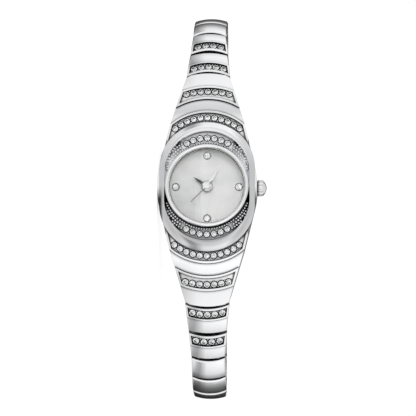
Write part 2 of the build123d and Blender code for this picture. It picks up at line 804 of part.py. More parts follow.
def cannon_pinion():
    """The centre wheel and its tube, which carries the minute hand."""
    _, wheel = mesh_radii(TRAIN_DISTANCE, THIRD_TO_CENTRE)
    pinion, _ = mesh_radii(MOTION_DISTANCE, MINUTE_TO_WHEEL)
    low = CENTRE_WHEEL_LOW
    part = gear(wheel, WHEEL_TEETH, low, low + WHEEL_THICKNESS)
    part += post(CANNON_RADIUS, low, MINUTE_HAND_LOW + HAND_THICKNESS)
    part += gear(pinion, PINION_TEETH, MINUTE_WHEEL_LOW - MESH_GAP, HOUR_WHEEL_LOW - MESH_GAP)
    return part - post(CANNON_BORE, 0, CASE_WIDTH)


def motion_place():
    """Where the minute wheel stands, between 4 and 5 o'clock."""
    turn = math.radians(-45)
    return MOTION_DISTANCE * math.cos(turn), MOTION_DISTANCE * math.sin(turn)


def minute_wheel():
    _, wheel = mesh_radii(MOTION_DISTANCE, MINUTE_TO_WHEEL)
    pinion, _ = mesh_radii(MOTION_DISTANCE, WHEEL_TO_HOUR)
    place = motion_place()
    low = MINUTE_WHEEL_LOW
    part = gear(wheel, WHEEL_TEETH, low, low + WHEEL_THICKNESS, *place)
    part += gear(pinion, PINION_TEETH, low + WHEEL_THICKNESS, DIAL_LOW - MESH_GAP, *place)
    return part + post(PIVOT_RADIUS, PLATE_LOW, low, *place)


def hour_wheel():
    _, wheel = mesh_radii(MOTION_DISTANCE, WHEEL_TO_HOUR)
    low = HOUR_WHEEL_LOW
    part = gear(wheel, WHEEL_TEETH, low, low + WHEEL_THICKNESS)
    part += post(HOUR_PIPE_RADIUS, low, HOUR_HAND_LOW + HAND_THICKNESS)
    return part - post(HOUR_PIPE_BORE, 0, CASE_WIDTH)


def train_places():
    """Plan places of the arbors that turn in both plates."""
    return [
        (-STEP_DISTANCE, 0),
        (-STEP_DISTANCE - ROTOR_DISTANCE, 0),
        (0, TRAIN_DISTANCE),
    ]


# Movement
def main_plate():
    plate = post(PLATE_RADIUS, PLATE_LOW, PLATE_HIGH)
    plate -= post(CANNON_RADIUS + MESH_GAP, 0, CASE_WIDTH)
    for place in train_places() + [motion_place()]:
        plate -= post(PIVOT_RADIUS + PIVOT_CLEARANCE, 0, CASE_WIDTH, *place)
    slot_start = STEM_INNER_END - 2 * OVERRUN
    return plate - bar_x(TUBE_RADIUS / 2, slot_start, CASE_WIDTH, z=CROWN_AXIS_HEIGHT)


def screw_places():
    """The two posts of the train bridge."""
    reach = PLATE_RADIUS / 2
    return [(reach * across, reach * along) for across, along in BRIDGE_POST_SHARES]


def train_bridge():
    """The lower plate of the train, on two posts."""
    half = PLATE_RADIUS / 2
    left, near, right, far = [half * share for share in BRIDGE_SHARES]
    plate = block((left, near, BRIDGE_LOW), (right, far, BRIDGE_HIGH))
    for place in train_places() + [(0, 0)]:
        plate -= post(PIVOT_RADIUS + PIVOT_CLEARANCE, 0, CASE_WIDTH, *place)
    for place in screw_places():
        plate += post(STEM_RADIUS * 2, BRIDGE_LOW, PLATE_LOW, *place)
        plate -= post(STEM_RADIUS, 0, CASE_WIDTH, *place)
    return plate


def bridge_screws():
    """The screws through the bridge's posts."""
    return group([post(STEM_RADIUS, BRIDGE_LOW, PLATE_LOW, *place) for place in screw_places()])


def battery():
    return post(BATTERY_RADIUS, BATTERY_LOW, PLATE_LOW, 0, BATTERY_CENTRE_Y)


def battery_strap():
    """The spring strip under the battery, up to the board at one side."""
    half = STRAP_WIDTH / 2
    reach = BATTERY_RADIUS + STRAP_REACH
    low, high = BATTERY_LOW - STRAP_THICKNESS, BATTERY_LOW
    strip_plate = block(
        (-reach, BATTERY_CENTRE_Y - half, low), (reach, BATTERY_CENTRE_Y + half, high)
    )
    leg = block(
        (reach - STRAP_THICKNESS, BATTERY_CENTRE_Y - half, low),
        (reach, BATTERY_CENTRE_Y + half, PLATE_LOW),
    )
    return strip_plate + leg


def circuit_board():
    """The driver board under the main plate, between 1 and 2 o'clock."""
    left, near, right, far = [PLATE_RADIUS * share for share in BOARD_SHARES]
    board = block((left, near, STATOR_LOW), (right, far, PLATE_LOW))
    left, near, right, far = [PLATE_RADIUS * share for share in CHIP_SHARES]
    return board + block((left, near, STATOR_LOW - CORE_RADIUS * 2), (right, far, STATOR_LOW))


def coil():
    """The winding on its core."""
    half = COIL_LENGTH / 2
    z = PLATE_LOW - COIL_RADIUS
    winding = bar_y(COIL_RADIUS, -half, half, COIL_X, z)
    core = bar_y(CORE_RADIUS, -half - CORE_RADIUS * 2, half + CORE_RADIUS * 2, COIL_X, z)
    return winding + core


def stator():
    """The pole plate round the rotor, with an arm to each end of the coil."""
    half = COIL_LENGTH / 2
    rotor_x = -STEP_DISTANCE - ROTOR_DISTANCE
    inner = rotor_x + STATOR_HOLE + CORE_RADIUS * 2
    arm_start = half + SIDE_CLEARANCE
    arm_end = half + CORE_RADIUS * 2
    outer = COIL_X + COIL_RADIUS + SIDE_CLEARANCE
    plate = block((outer, -arm_end, STATOR_LOW), (inner - CORE_RADIUS, arm_end, PLATE_LOW))
    for side in (-1, 1):
        low, high = sorted((side * arm_start, side * arm_end))
        plate += block((COIL_X, low, STATOR_LOW), (outer, high, PLATE_LOW))
    return plate - post(STATOR_HOLE, 0, CASE_WIDTH, rotor_x)


def movement_holder():
    ring = tube(HOLDER_OUTER, HOLDER_INNER, MOVEMENT_LOW, DIAL_LOW)
    return ring - bar_x(TUBE_RADIUS, 0, CASE_WIDTH, z=CROWN_AXIS_HEIGHT)


# Crown
def crown_tube():
    outer, inner = CASE_WIDTH / 2 + CROWN_BORE_DEPTH / 2, BORE_RADIUS - SIDE_CLEARANCE
    shell = bar_x(TUBE_RADIUS, inner, outer, z=CROWN_AXIS_HEIGHT)
    shell -= post(BORE_RADIUS, 0, DECK_HEIGHT)
    return shell - bar_x(TUBE_BORE_RADIUS, 0, CASE_WIDTH, z=CROWN_AXIS_HEIGHT)


def crown():
    """The fluted knob with a domed cap."""
    start = CASE_WIDTH / 2 + CROWN_GAP
    end = start + CROWN_LENGTH
    points = []
    for flute in range(CROWN_FLUTES):
        for part_share, reach in zip(FLUTE_SHARES, (0, FLUTE_DEPTH, FLUTE_DEPTH, 0)):
            turn = 2 * math.pi * (flute + part_share) / CROWN_FLUTES
            radius = CROWN_RADIUS - reach
            points.append((radius * math.cos(turn), radius * math.sin(turn)))
    knob = slab(make_face(Polyline(*points, close=True)), start, end)
    knob &= ball_cap(CROWN_RADIUS, end - CROWN_DOME, CROWN_DOME)
    knob &= turned(
        [
            (0, start),
            (CROWN_RADIUS - CROWN_EASE, start),
            (CROWN_RADIUS, start + CROWN_EASE),
            (CROWN_RADIUS, end),
            (0, end),
        ]
    )
    knob -= post(CROWN_BORE_RADIUS, start, start + CROWN_BORE_DEPTH)
    knob -= post(STEM_RADIUS, start, end - CROWN_DOME)
    return Pos(0, 0, CROWN_AXIS_HEIGHT) * Rot(0, 90, 0) * knob


def stem():
    end = CASE_WIDTH / 2 + CROWN_GAP + CROWN_LENGTH - CROWN_DOME
    return bar_x(STEM_RADIUS, STEM_INNER_END, end, z=CROWN_AXIS_HEIGHT)


def setting_yoke():
    """The fork that follows the stem when the crown is pulled."""
    x = STEM_INNER_END + OVERRUN / 2
    half = YOKE_HALF_WIDTH
    low, high = BRIDGE_HIGH, PLATE_LOW - SIDE_CLEARANCE
    fork = block((x, -half, low), (x + STEM_RADIUS * 2, half, high))
    fork += block((x, half, low), (x + STEM_RADIUS * 2, YOKE_TAIL, low + STEM_RADIUS * 2))
    return fork - bar_x(STEM_RADIUS + PIVOT_CLEARANCE, 0, CASE_WIDTH, z=CROWN_AXIS_HEIGHT)


# Bracelet frames
def pitches():
    """Hinge to hinge lengths of one side's links, from the head."""
    plain = 3
    back = len(SLOPES_12) - plain - 2
    return [FIRST_PITCH, SECOND_PITCH] + [PLAIN_PITCH] * plain + [BACK_PITCH] * back


def slopes(side):
    return SLOPES_12 if side == "12" else SLOPES_6


def step(side, point, length, slope):
    """The next hinge along a link that falls away at a slope."""
    turn = math.radians(slope)
    y, z = point
    return y + SIDES[side] * length * math.cos(turn), z - length * math.sin(turn)


def hinge_points(side):
    """The hinge lines of one side in y and z, from the head's."""
    points = [(SIDES[side] * HEAD_PIN_Y, HEAD_PIN_Z)]
    for length, slope in zip(pitches(), slopes(side)):
        points.append(step(side, points[-1], length, slope))
    return points


def frame_at(side, point, slope):
    """A frame with x across the bracelet, y away from the head and z outwards."""
    turn = math.radians(slope)
    sign = SIDES[side]
    y, z = point
    outward = (0, sign * math.sin(turn), math.cos(turn))
    return Plane(origin=(0, y, z), x_dir=(sign, 0, 0), z_dir=outward)


def head_frame(side):
    return frame_at(side, hinge_points(side)[0], HEAD_END_SLOPE)


def link_frame(side, index):
    return frame_at(side, hinge_points(side)[index], slopes(side)[index])


def clasp_span():
    """The clasp's length, from the last hinge at 6 o'clock to the end at 12 o'clock."""
    return math.dist(hinge_points("6")[-1], hinge_points("12")[-1])


def clasp_slope():
    """The clasp's slope, counted on from the slopes of the 6 o'clock side."""
    (y0, z0), (y1, z1) = hinge_points("6")[-1], hinge_points("12")[-1]
    return math.degrees(math.atan2(z0 - z1, y0 - y1)) % 360


def clasp_frame():
    return frame_at("6", hinge_points("6")[-1], clasp_slope())


# Links
def knuckle_pocket(at):
    """Room for the next link's centre knuckle."""
    half = KNUCKLE_HALF_WIDTH + SIDE_CLEARANCE
    return bar_x(KNUCKLE_RADIUS + ROUND_CLEARANCE, -half, half, y=at)


def ear_bands():
    inner = KNUCKLE_HALF_WIDTH + SIDE_CLEARANCE
    return [(inner, EAR_OUTER), (-EAR_OUTER, -inner)]


def ears(at):
    """Two round ears on short necks, at the far end of a link."""
    shape = None
    for start, end in ear_bands():
        ear = bar_x(KNUCKLE_RADIUS, start, end, y=at)
        ear += block((start, at - NECK_LENGTH, -KNUCKLE_RADIUS), (end, at, NECK_TOP))
        shape = ear if shape is None else shape + ear
    return shape


def ear_pockets():
    """Room for the link before's ears."""
    shape = None
    for start, end in ear_bands():
        low, high = start - SIDE_CLEARANCE / 2, end + SIDE_CLEARANCE
        if start < 0:
            low, high = start - SIDE_CLEARANCE, end + SIDE_CLEARANCE / 2
        pocket = bar_x(KNUCKLE_RADIUS + ROUND_CLEARANCE, low, high)
        shape = pocket if shape is None else shape + pocket
    return shape


def knuckle():
    """The round centre knuckle on its neck, at the near end of a link."""
    half = KNUCKLE_HALF_WIDTH
    shape = bar_x(KNUCKLE_RADIUS, -half, half)
    return shape + block((-half, 0, -KNUCKLE_RADIUS), (half, NECK_LENGTH, NECK_TOP))


def barrel_axis(length):
    """Where the axis of a link's barrelled top stands, along and above its hinge line."""
    return length / 2 + END_REACH, LINK_TOP - LINK_BARREL_RADIUS


def barrel(half_width, length, rise=0.0):
    """The solid whose skin is a link's top, bowed along the link and across it."""
    radius = LINK_BARREL_RADIUS + rise
    half = half_width + OVERRUN
    edge = radius - LINK_CAMBER * (half / half_width) ** 2
    y, z = barrel_axis(length)
    middle = Plane(origin=(0, y, z), x_dir=(1, 0, 0), z_dir=(0, -1, 0))
    edges = [
        Line((-half, 0), (half, 0)),
        Line((half, 0), (half, edge)),
        ThreePointArc((half, edge), (0, radius), (-half, edge)),
        Line((-half, edge), (-half, 0)),
    ]
    return revolve(middle * make_face(edges), Axis((0, y, z), (1, 0, 0)))


def plate(length, half_start, half_end, end_face):
    """A link's plate between its two bowed ends, relieved below."""
    near = END_REACH + LINK_GAP / 2
    widths = (half_start, half_end, bow_sag(half_start), bow_sag(half_end))
    upper = strip(near, end_face, *widths)
    lower = strip(near + LINK_RELIEF, end_face - LINK_RELIEF, *widths)
    room = barrel(max(half_start, half_end), length)
    top = eased(slab(upper, RELIEF_TOP, LINK_TOP) & room, LINK_EDGE)
    return top + slab(lower, -LINK_BOTTOM, RELIEF_TOP)


def eased(shape, size):
    """A plate with a chamfer round its top."""
    return chamfer(shape.faces().sort_by(Axis.Z)[-1].edges(), size)


def stone_field(length, half_start, half_end):
    """The raised field that holds a link's stones."""
    near = END_REACH + LINK_GAP / 2
    half_far = half_start + (half_end - half_start) * LINK_FIELD_END / length
    outline = field_outline(near, LINK_FIELD_END, half_start, half_far)
    top = LINK_TOP + PLATEAU_RISE
    shape = slab(outline, RELIEF_TOP, top) & barrel(max(half_start, half_end), length, PLATEAU_RISE)
    return eased(shape, LINK_EDGE / 2)


def field_outline(near, far, half_start, half_far):
    return strip(near, far, half_start, half_far, bow_sag(half_start), bow_sag(half_far))


def field_channel(length, half_start, half_end):
    """The sunk floor of a link's stone field, as a solid to cut away."""
    near = END_REACH + LINK_GAP / 2 + CHANNEL_RIM
    half_far = half_start + (half_end - half_start) * LINK_FIELD_END / length
    halves = [half - CHANNEL_RIM for half in (half_start, half_far)]
    outline = field_outline(near, LINK_FIELD_END - CHANNEL_RIM, *halves)
    top = LINK_TOP + PLATEAU_RISE
    floor = barrel(max(half_start, half_end), length, PLATEAU_RISE - CHANNEL_DEPTH)
    return slab(outline, 0, top + OVERRUN) - floor


def link_stone_places(count, pitch, half_width, length):
    """A bowed row of stone places on a link's field."""
    places = []
    middle, axis_z = barrel_axis(length)
    for i in range(count):
        x = (i - (count - 1) / 2) * pitch
        y = LINK_STONE_REACH - bow_sag(abs(x))
        drop = LINK_CAMBER * (x / half_width) ** 2
        radius = LINK_BARREL_RADIUS + PLATEAU_RISE - CHANNEL_DEPTH - drop
        lean = (y - middle) / radius
        level = math.sqrt(1 - lean**2)
        normal = (2 * LINK_CAMBER * x / half_width**2, lean, level)
        origin = (x, y, axis_z + radius * level)
        places.append(Plane(origin=origin, x_dir=(1, 0, 0), z_dir=normal))
    return places


def link_body(length, half_start, half_end, jewelled):
    """A whole link in its own frame, without its pin."""
    end_face = length + END_REACH - LINK_GAP / 2
    shape = plate(length, half_start, half_end, end_face)
    if jewelled:
        shape += stone_field(length, half_start, half_end)
        shape -= field_channel(length, half_start, half_end)
    shape -= ear_pockets()
    shape -= knuckle_pocket(length)
    shape += knuckle()
    shape += ears(length)
    shape -= bar_x(PIN_RADIUS + PIN_CLEARANCE, -EAR_OUTER, EAR_OUTER)
    return shape - bar_x(PIN_RADIUS, -EAR_OUTER, EAR_OUTER, y=length)


def link_stones(index):
    """How many stones a link carries, at what pitch."""
    rows = [(FIRST_STONE_COUNT, FIRST_STONE_PITCH), (SECOND_STONE_COUNT, SECOND_STONE_PITCH)]
    return rows[index] if index < len(rows) else None


def link_halves(index):
    """A link's half widths at its two ends."""
    if index == 0:
        return LUG_END_WIDTH / 2, FIRST_END_WIDTH / 2
    if index == 1:
        return SECOND_START_WIDTH / 2, BRACELET_WIDTH / 2
    return back_half(index), back_half(index + 1)


def back_half(hinge):
    """The bracelet's half width at a hinge, tapering to the clasp past the plain links."""
    share = max(0, hinge - TAPER_HINGE) / (len(SLOPES_12) - TAPER_HINGE)
    return (BRACELET_WIDTH + (CLASP_END_WIDTH - BRACELET_WIDTH) * share) / 2


def hinge_pin(at):
    return bar_x(PIN_RADIUS, -EAR_OUTER, EAR_OUTER, y=at)


def link(side, index):
    """A link and its far hinge pin, as two solids in place."""
    length = pitches()[index]
    halves = link_halves(index)
    row = link_stones(index)
    body = link_body(length, *halves, row is not None)
    if row:
        for place in link_stone_places(*row, max(halves), length):
            body -= place * stone(LINK_STONE, SEAT_CLEARANCE)
    frame = link_frame(side, index)
    return group([frame * body, frame * hinge_pin(length)])


def end_link(side, index):
    """The last link at 12 o'clock, whose tongue the clasp holds."""
    length = pitches()[index]
    shape = plate(length, *link_halves(index), length - TONGUE_SETBACK)
    shape -= ear_pockets()
    shape += knuckle()
    wide = TONGUE_HALF_WIDTH
    tongue_end = length + TONGUE_REACH
    outline = strip(length / 2, tongue_end, wide, wide, 0, bow_sag(wide))
    shape += slab(outline, TONGUE_BOTTOM, TONGUE_TOP)
    shape -= bar_x(PIN_RADIUS + PIN_CLEARANCE, -EAR_OUTER, EAR_OUTER)
    return link_frame(side, index) * shape


def stones_of_link(side, index):
    """The stones of one jewelled link, in place."""
    row = link_stones(index)
    frame = link_frame(side, index)
    places = link_stone_places(*row, max(link_halves(index)), pitches()[index])
    return group([frame * (place * stone(LINK_STONE)) for place in places])


# Clasp
def clasp_height(y):
    """How far the clasp's middle line bows out at a distance along it."""
    span = clasp_span()
    return CLASP_RISE * (1 - ((2 * y - span) / span) ** 2)


def bowed(start, end, low, high, half_width):
    """A bowed plate of the clasp between two offsets from its middle line."""
    mid = (start + end) / 2

    def at(y, offset):
        return (y, clasp_height(y) + offset)

    edges = [
        ThreePointArc(at(start, low), at(mid, low), at(end, low)),
        Line(at(end, low), at(end, high)),
        ThreePointArc(at(end, high), at(mid, high), at(start, high)),
        Line(at(start, high), at(start, low)),
    ]
    return side_prism(make_face(edges), half_width)


def cover_hinge():
    """The cover's hinge line, along and out from the clasp's first hinge."""
    return COVER_HINGE, clasp_height(COVER_HINGE) + COVER_HINGE_RISE


def cover_ears():
    """The base's two ears for the cover."""
    y, z = cover_hinge()
    shape = None
    for start, end in ear_bands():
        ear = bar_x(COVER_EAR_RADIUS, start, end, y=y, z=z)
        foot = clasp_height(y) + (BASE_TOP + BASE_BOTTOM) / 2
        low = (start, y - COVER_EAR_RADIUS, foot)
        ear += block(low, (end, y + COVER_EAR_RADIUS, z))
        shape = ear if shape is None else shape + ear
    return shape


def clasp_base():
    """The clasp's bowed base, with its fork, its knuckle and the cover's ears."""
    span = clasp_span()
    half = CLASP_WIDTH / 2
    shape = bowed(BASE_START, span + PRONG_REACH, BASE_BOTTOM, BASE_TOP, half)
    slot_start, slot_end = span - PRONG_LENGTH, span + CASE_WIDTH
    shape -= block((-PRONG_INNER, slot_start, -CASE_WIDTH), (PRONG_INNER, slot_end, CASE_WIDTH))
    shape -= ear_pockets()
    shape += knuckle()
    shape += cover_ears()
    y, z = cover_hinge()
    shape -= bar_x(COVER_PIN_RADIUS, -EAR_OUTER, EAR_OUTER, y=y, z=z)
    shape -= bar_x(PIN_RADIUS + PIN_CLEARANCE, -EAR_OUTER, EAR_OUTER)
    pin = bar_x(COVER_PIN_RADIUS, -EAR_OUTER, EAR_OUTER, y=y, z=z)
    frame = clasp_frame()
    return group([frame * shape, frame * pin])


def clasp_cover():
    """The bowed cover that folds down over the base."""
    span = clasp_span()
    y, z = cover_hinge()
    half = CLASP_END_WIDTH / 2
    shape = bowed(y, span - COVER_END_GAP, COVER_BOTTOM, COVER_TOP, half)
    for start, end in ear_bands():
        low, high = start - COVER_CLEARANCE / 2, end + COVER_CLEARANCE
        if start < 0:
            low, high = start - COVER_CLEARANCE, end + COVER_CLEARANCE / 2
        radius = COVER_EAR_RADIUS + COVER_CLEARANCE
        shape -= bar_x(radius, low, high, y=y, z=z)
        floor = clasp_height(y) + BASE_TOP
        shape -= block((low, y - radius, floor), (high, y + radius, z))
    barrel = COVER_EAR_RADIUS - COVER_CLEARANCE / 2
    shape += bar_x(barrel, -KNUCKLE_HALF_WIDTH, KNUCKLE_HALF_WIDTH, y=y, z=z)
    shape -= bar_x(COVER_PIN_RADIUS + PIN_CLEARANCE, -EAR_OUTER, EAR_OUTER, y=y, z=z)
    return clasp_frame() * shape


# Nodes
HEAD_PIECES = {
    "case_body": case_body,
    "oval_band": oval_band,
    "bezel_ring": bezel_ring,
    "crystal": crystal,
    "crystal_gasket": crystal_gasket,
    "dial_ring": dial_ring,
    "case_back": case_back,
    "case_back_gasket": case_back_gasket,
    "crescent_stones": lambda: end_stones(*crescent_row()),
    "shoulder_stones": lambda: end_stones(shoulder_places(), [SHOULDER_STONE] * SHOULDER_COUNT),
    "lug_stones": lambda: end_stones(lug_places(), [LUG_STONE] * LUG_STONE_COUNT),
    "dial": dial,
    "dial_stones": lambda: group(seated(*dial_stone_row())),
    "crown_tube": crown_tube,
    "crown": crown,
    "stem": stem,
    "setting_yoke": setting_yoke,
}

MOVEMENT_PIECES = {
    "movement_holder": movement_holder,
    "main_plate": main_plate,
    "train_bridge": train_bridge,
    "bridge_screws": bridge_screws,
    "battery": battery,
    "battery_strap": battery_strap,
    "circuit_board": circuit_board,
    "coil": coil,
    "stator": stator,
    "rotor": rotor,
    "intermediate_wheel": intermediate_wheel,
    "seconds_wheel": seconds_wheel,
    "third_wheel": third_wheel,
    "cannon_pinion": cannon_pinion,
    "minute_wheel": minute_wheel,
    "hour_wheel": hour_wheel,
    "hour_hand": hour_hand,
    "minute_hand": minute_hand,
    "second_hand": second_hand,
}


def head_pins():
    """The pins that hold the first links to the head."""
    return [head_frame(side) * hinge_pin(0) for side in SIDES]


def bracelet_pieces():
    """Every link and its stones by node name."""
    pieces = {}
    last = len(SLOPES_12) - 1
    for side in SIDES:
        for index in range(last + 1):
            name = f"link_{side}_{index + 1}"
            make = end_link if (side == "12" and index == last) else link
            pieces[name] = make(side, index)
            if link_stones(index):
                pieces[name + "_stones"] = stones_of_link(side, index)
    return pieces


def all_pieces():
    """Every node of the watch in its drawing frame."""
    pieces = {name: make() for name, make in (HEAD_PIECES | MOVEMENT_PIECES).items()}
    pieces["case_body"] = group([pieces["case_body"]] + head_pins())
    pieces.update(bracelet_pieces())
    pieces["clasp_base"] = clasp_base()
    pieces["clasp_cover"] = clasp_cover()
    return pieces


def main():
    os.makedirs("parts", exist_ok=True)
    for name, piece in all_pieces().items():
        export_step(STORED * piece, f"parts/{name}.step")
    for side in SIDES:
        print(side, [(round(y, 2), round(z, 2)) for y, z in hinge_points(side)])
    print("clasp", round(clasp_span(), 2), round(clasp_slope(), 2))


if __name__ == "__main__":
    main()
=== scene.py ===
"""The looks of a ladies' jewelled bracelet watch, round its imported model.

Sizes are in millimetres and places are the watch's own: x towards 3 o'clock, y towards
12 o'clock and z out of the dial, from the centre of the case back. WATCH turns them into
the frame's metres.
"""

import json
import math
import random

import bmesh
import bpy
from mathutils import Matrix, Vector


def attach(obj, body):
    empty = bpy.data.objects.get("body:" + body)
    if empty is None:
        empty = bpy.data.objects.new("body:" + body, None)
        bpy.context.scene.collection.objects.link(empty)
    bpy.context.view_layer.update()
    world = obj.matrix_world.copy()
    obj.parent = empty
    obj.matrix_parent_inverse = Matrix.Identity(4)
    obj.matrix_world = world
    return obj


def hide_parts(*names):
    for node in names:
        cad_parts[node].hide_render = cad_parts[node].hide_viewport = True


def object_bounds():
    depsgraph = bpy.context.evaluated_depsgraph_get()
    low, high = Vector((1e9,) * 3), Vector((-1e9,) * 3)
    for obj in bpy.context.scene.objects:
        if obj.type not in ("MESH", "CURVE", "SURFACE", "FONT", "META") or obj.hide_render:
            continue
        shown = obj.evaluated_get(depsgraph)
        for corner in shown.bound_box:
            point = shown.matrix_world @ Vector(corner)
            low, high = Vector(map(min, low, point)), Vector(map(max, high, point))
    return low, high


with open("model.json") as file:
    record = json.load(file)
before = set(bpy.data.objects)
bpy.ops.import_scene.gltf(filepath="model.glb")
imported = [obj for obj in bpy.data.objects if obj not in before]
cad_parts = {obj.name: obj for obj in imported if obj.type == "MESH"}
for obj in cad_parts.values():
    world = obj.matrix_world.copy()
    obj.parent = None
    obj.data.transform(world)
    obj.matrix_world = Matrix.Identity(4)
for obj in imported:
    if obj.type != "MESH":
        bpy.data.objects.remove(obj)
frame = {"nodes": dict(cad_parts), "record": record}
CAD_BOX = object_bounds()

# Places and units
MM = 0.001
WATCH = Matrix(((0, -1, 0, 0), (0, 0, -1, 0), (1, 0, 0, 0), (0, 0, 0, 1))) @ Matrix.Scale(MM, 4)
ACROSS = Vector((0, 0, 1))
ALONG = Vector((-1, 0, 0))
OUTWARD = Vector((0, -1, 0))
WELD = 1e-6

# Camera
CAMERA_DISTANCE = 450.0
VIEW_WIDTH = 83.2
VIEW_YAW = 2.2
VIEW_PITCH = 8.0
VIEW_ROLL = 0.3
SENSOR_WIDTH = 36.0
CLIP_START = 0.01
CLIP_END = 20.0
HUB_HEIGHT = 5.8
CENTRE_RIGHT = 0.24
CENTRE_DOWN = 4.42

# Dial
DIAL_TOP = 4.15
DIAL_EDGE = 7.4
DIAL_STONE_CIRCLE = 6.2
DIAL_STONE_SHARE = 0.8
CUP_RADIUS = 0.7
CUP_WIRE = 0.08
# Greys by the distance from the dial's axis, as a share of the dial's radius or of the hub's reach
HUB_REACH = 2.3
DIAL_RIM_SHADE = ((0.7, 1.0), (0.94, 0.94), (1.0, 0.8))
HOUR_HAND_SHADE = ((0.42, 1.0), (0.45, 0.05), (0.52, 0.03))
SECOND_HAND_SHADE = ((0.3, 1.0), (0.34, 0.25))
PEARL_CLOUD = 5.0
PEARL_VEIN = 1.2
PEARL_CLOUDS = ((0.3, (0.74, 0.75, 0.75)), (0.5, (0.79, 0.795, 0.79)), (0.7, (0.84, 0.835, 0.83)))
PEARL_VEINS = ((0.35, 0.94), (0.6, 1.0))

# Stones, as shares of their radius
STONE_SHARE = 0.92
TABLE_SHARE = 0.58
CROWN_SHARE = 0.32
GIRDLE_SHARE = 0.08
PAVILION_SHARE = 0.8
STAR_REACH_SHARE = 0.8
STAR_HEIGHT_SHARE = 0.17
LOWER_REACH_SHARE = 0.55
LOWER_HEIGHT_SHARE = 0.42
SEAT_INNER_SHARE = 0.9
SEAT_OUTER_SHARE = 1.18
SEAT_DEPTH_SHARE = 0.36
SEAT_THICKNESS_SHARE = 0.08
SEAT_SIDES = 24
ROW_BEAD_REACH_SHARE = 0.72
ROW_BEAD_DEPTH_SHARE = 0.34
BEAD_RADIUS = 0.15
BEAD_RINGS = 5
BEAD_SIDES = 10

# Crescents between the bezel and the oval band
WINDOW_FLOOR = 5.5
BEZEL_BEAD_CIRCLE = 8.68
BEZEL_BEAD_PITCH = 0.52
BEZEL_BEAD_RADIUS = 0.2
BEZEL_BEAD_SPAN = 40.0
# Fine beads in the crescents' tips: circle, first and last angle from 12 or 6 o'clock, and size
TIP_ROWS = ((8.8, 42.0, 74.0, 0.44), (9.35, 35.0, 60.0, 0.5), (9.92, 31.0, 46.0, 0.46))
TIP_ROOM = 0.1

# Metal: the rounding of its edges, the size of its wear and grain, and how far the painted shade in
# its crevices reaches
EDGE_RADIUS = 0.2
WEAR_PATCH = 1.6
METAL_GRAIN = 0.06
GRAIN_DEPTH = 0.01
CREVICE_REACH = 0.6
GROOVE_REACH = 1.6
# How open a place is, and how much of its colour it then keeps under the painted crevice shade
CREVICE_PAINTED_SHADE = ((0.0, 0.01), (0.6, 0.02), (0.8, 0.35), (0.93, 1.0))
GROOVE_PAINTED_SHADE = ((0.0, 0.01), (0.45, 0.02), (0.62, 0.5), (0.72, 1.0))
# Places along y, and how far their crevices stay free of the painted shade there
SHADE_FREE_SIDES = ((-9.0, 0.0), (-2.5, 0.0), (0.0, 1.0), (5.0, 1.0), (8.0, 0.0))
OPEN_SPAN = 20.0
# The oval band's outer arc at 6 o'clock, where its painted grey reflection starts and ends, and its
# sides greyed by painted reflection
BAND_CENTRE = 3.55
BAND_RADIUS = 9.6
BAND_INNER = ((0.78, 0.5), (0.88, 0.68), (1.0, 1.0))
BAND_LOW_START = 3.0
BAND_LOW_END = 9.0
BAND_SIDES = ((-8.0, 1.0), (-4.0, 0.84), (4.0, 0.84), (8.0, 1.0))
# Tones: clean and worn
POLISHED = ((0.90, 0.90, 0.91), (0.84, 0.845, 0.86))
SATIN = ((0.92, 0.92, 0.93), (0.84, 0.845, 0.86))
BRUSHED = ((0.80, 0.80, 0.81), (0.70, 0.705, 0.72))
# Black for the stones' seats and the dial's cups: painted shade round the stones
SHADE_BLACK = ((0.06, 0.06, 0.065), (0.04, 0.04, 0.045))
COPPER = ((0.78, 0.40, 0.24), (0.62, 0.29, 0.17))
BRASS = ((0.88, 0.68, 0.36), (0.74, 0.54, 0.26))
# Tones of the rest: dark and light
RUBBER = ((0.02, 0.02, 0.02), (0.045, 0.045, 0.045))
IVORY_PLASTIC = ((0.55, 0.55, 0.52), (0.7, 0.7, 0.67))
GREEN_PLASTIC = ((0.02, 0.10, 0.05), (0.04, 0.17, 0.08))
STONE_TINT = (0.93, 0.95, 0.97)
STONE_CLOUD = 0.6
STONE_INDEX = 2.1
GLASS_INDEX = 1.45
SMEAR = 3.0
MOTTLE = 0.5
MOTTLE_DEPTH = 0.02
WHITE = (1, 1, 1, 1)

# What polished metal mirrors: strengths by the angle from the dial's axis towards 12 o'clock
MIRRORED_ALONG = (
    (-180, 0.35),
    (-172, 0.35),
    (-168, 0.03),
    (-156, 0.02),
    (-135, 0.07),
    (-118, 0.17),
    (-106, 0.35),
    (-94, 0.75),
    (-81, 0.88),
    (-62, 1.0),
    (-40, 0.92),
    (-18, 1.05),
    (-8, 0.98),
    (0, 0.88),
    (8, 0.84),
    (20, 0.96),
    (28, 0.86),
    (34, 0.66),
    (42, 0.74),
    (52, 0.9),
    (66, 0.94),
    (84, 0.88),
    (98, 0.95),
    (108, 0.82),
    (116, 0.6),
    (126, 0.32),
    (138, 0.12),
    (168, 0.04),
    (173, 0.12),
    (177, 0.35),
)
# and by the cosine to 3 o'clock
MIRRORED_ACROSS = (
    (-0.62, 0.95),
    (-0.5, 0.8),
    (-0.4, 0.46),
    (-0.3, 0.4),
    (-0.2, 0.66),
    (-0.1, 0.94),
    (0.4, 1.04),
    (0.6, 0.8),
)
# which counts less where the surface faces the camera
MIRRORED_ACROSS_FLAT = (
    (-0.6, 0.86),
    (-0.42, 0.9),
    (-0.28, 0.95),
    (-0.12, 0.98),
    (0.35, 1.0),
    (0.6, 0.92),
)
FLATNESS = ((-30, 0.0), (-14, 1.0), (24, 1.0), (58, 0.9), (68, 0.0))
# Far sideways only the cosine to the dial's axis counts
SIDEWAYS = ((-0.72, 1.0), (-0.48, 0.0), (0.48, 0.0), (0.7, 1.0))
MIRRORED_SIDEWAYS = ((-1.0, 0.04), (-0.95, 0.12), (-0.82, 0.5), (-0.6, 0.66), (1.0, 0.66))
# What clear stones show: flecks of a size, as a share of the tent's radius, dark to light
SPARKLE_SIZE = 0.16
SPARKLE = ((0.43, 0.0), (0.48, 0.1), (0.54, 1.0))
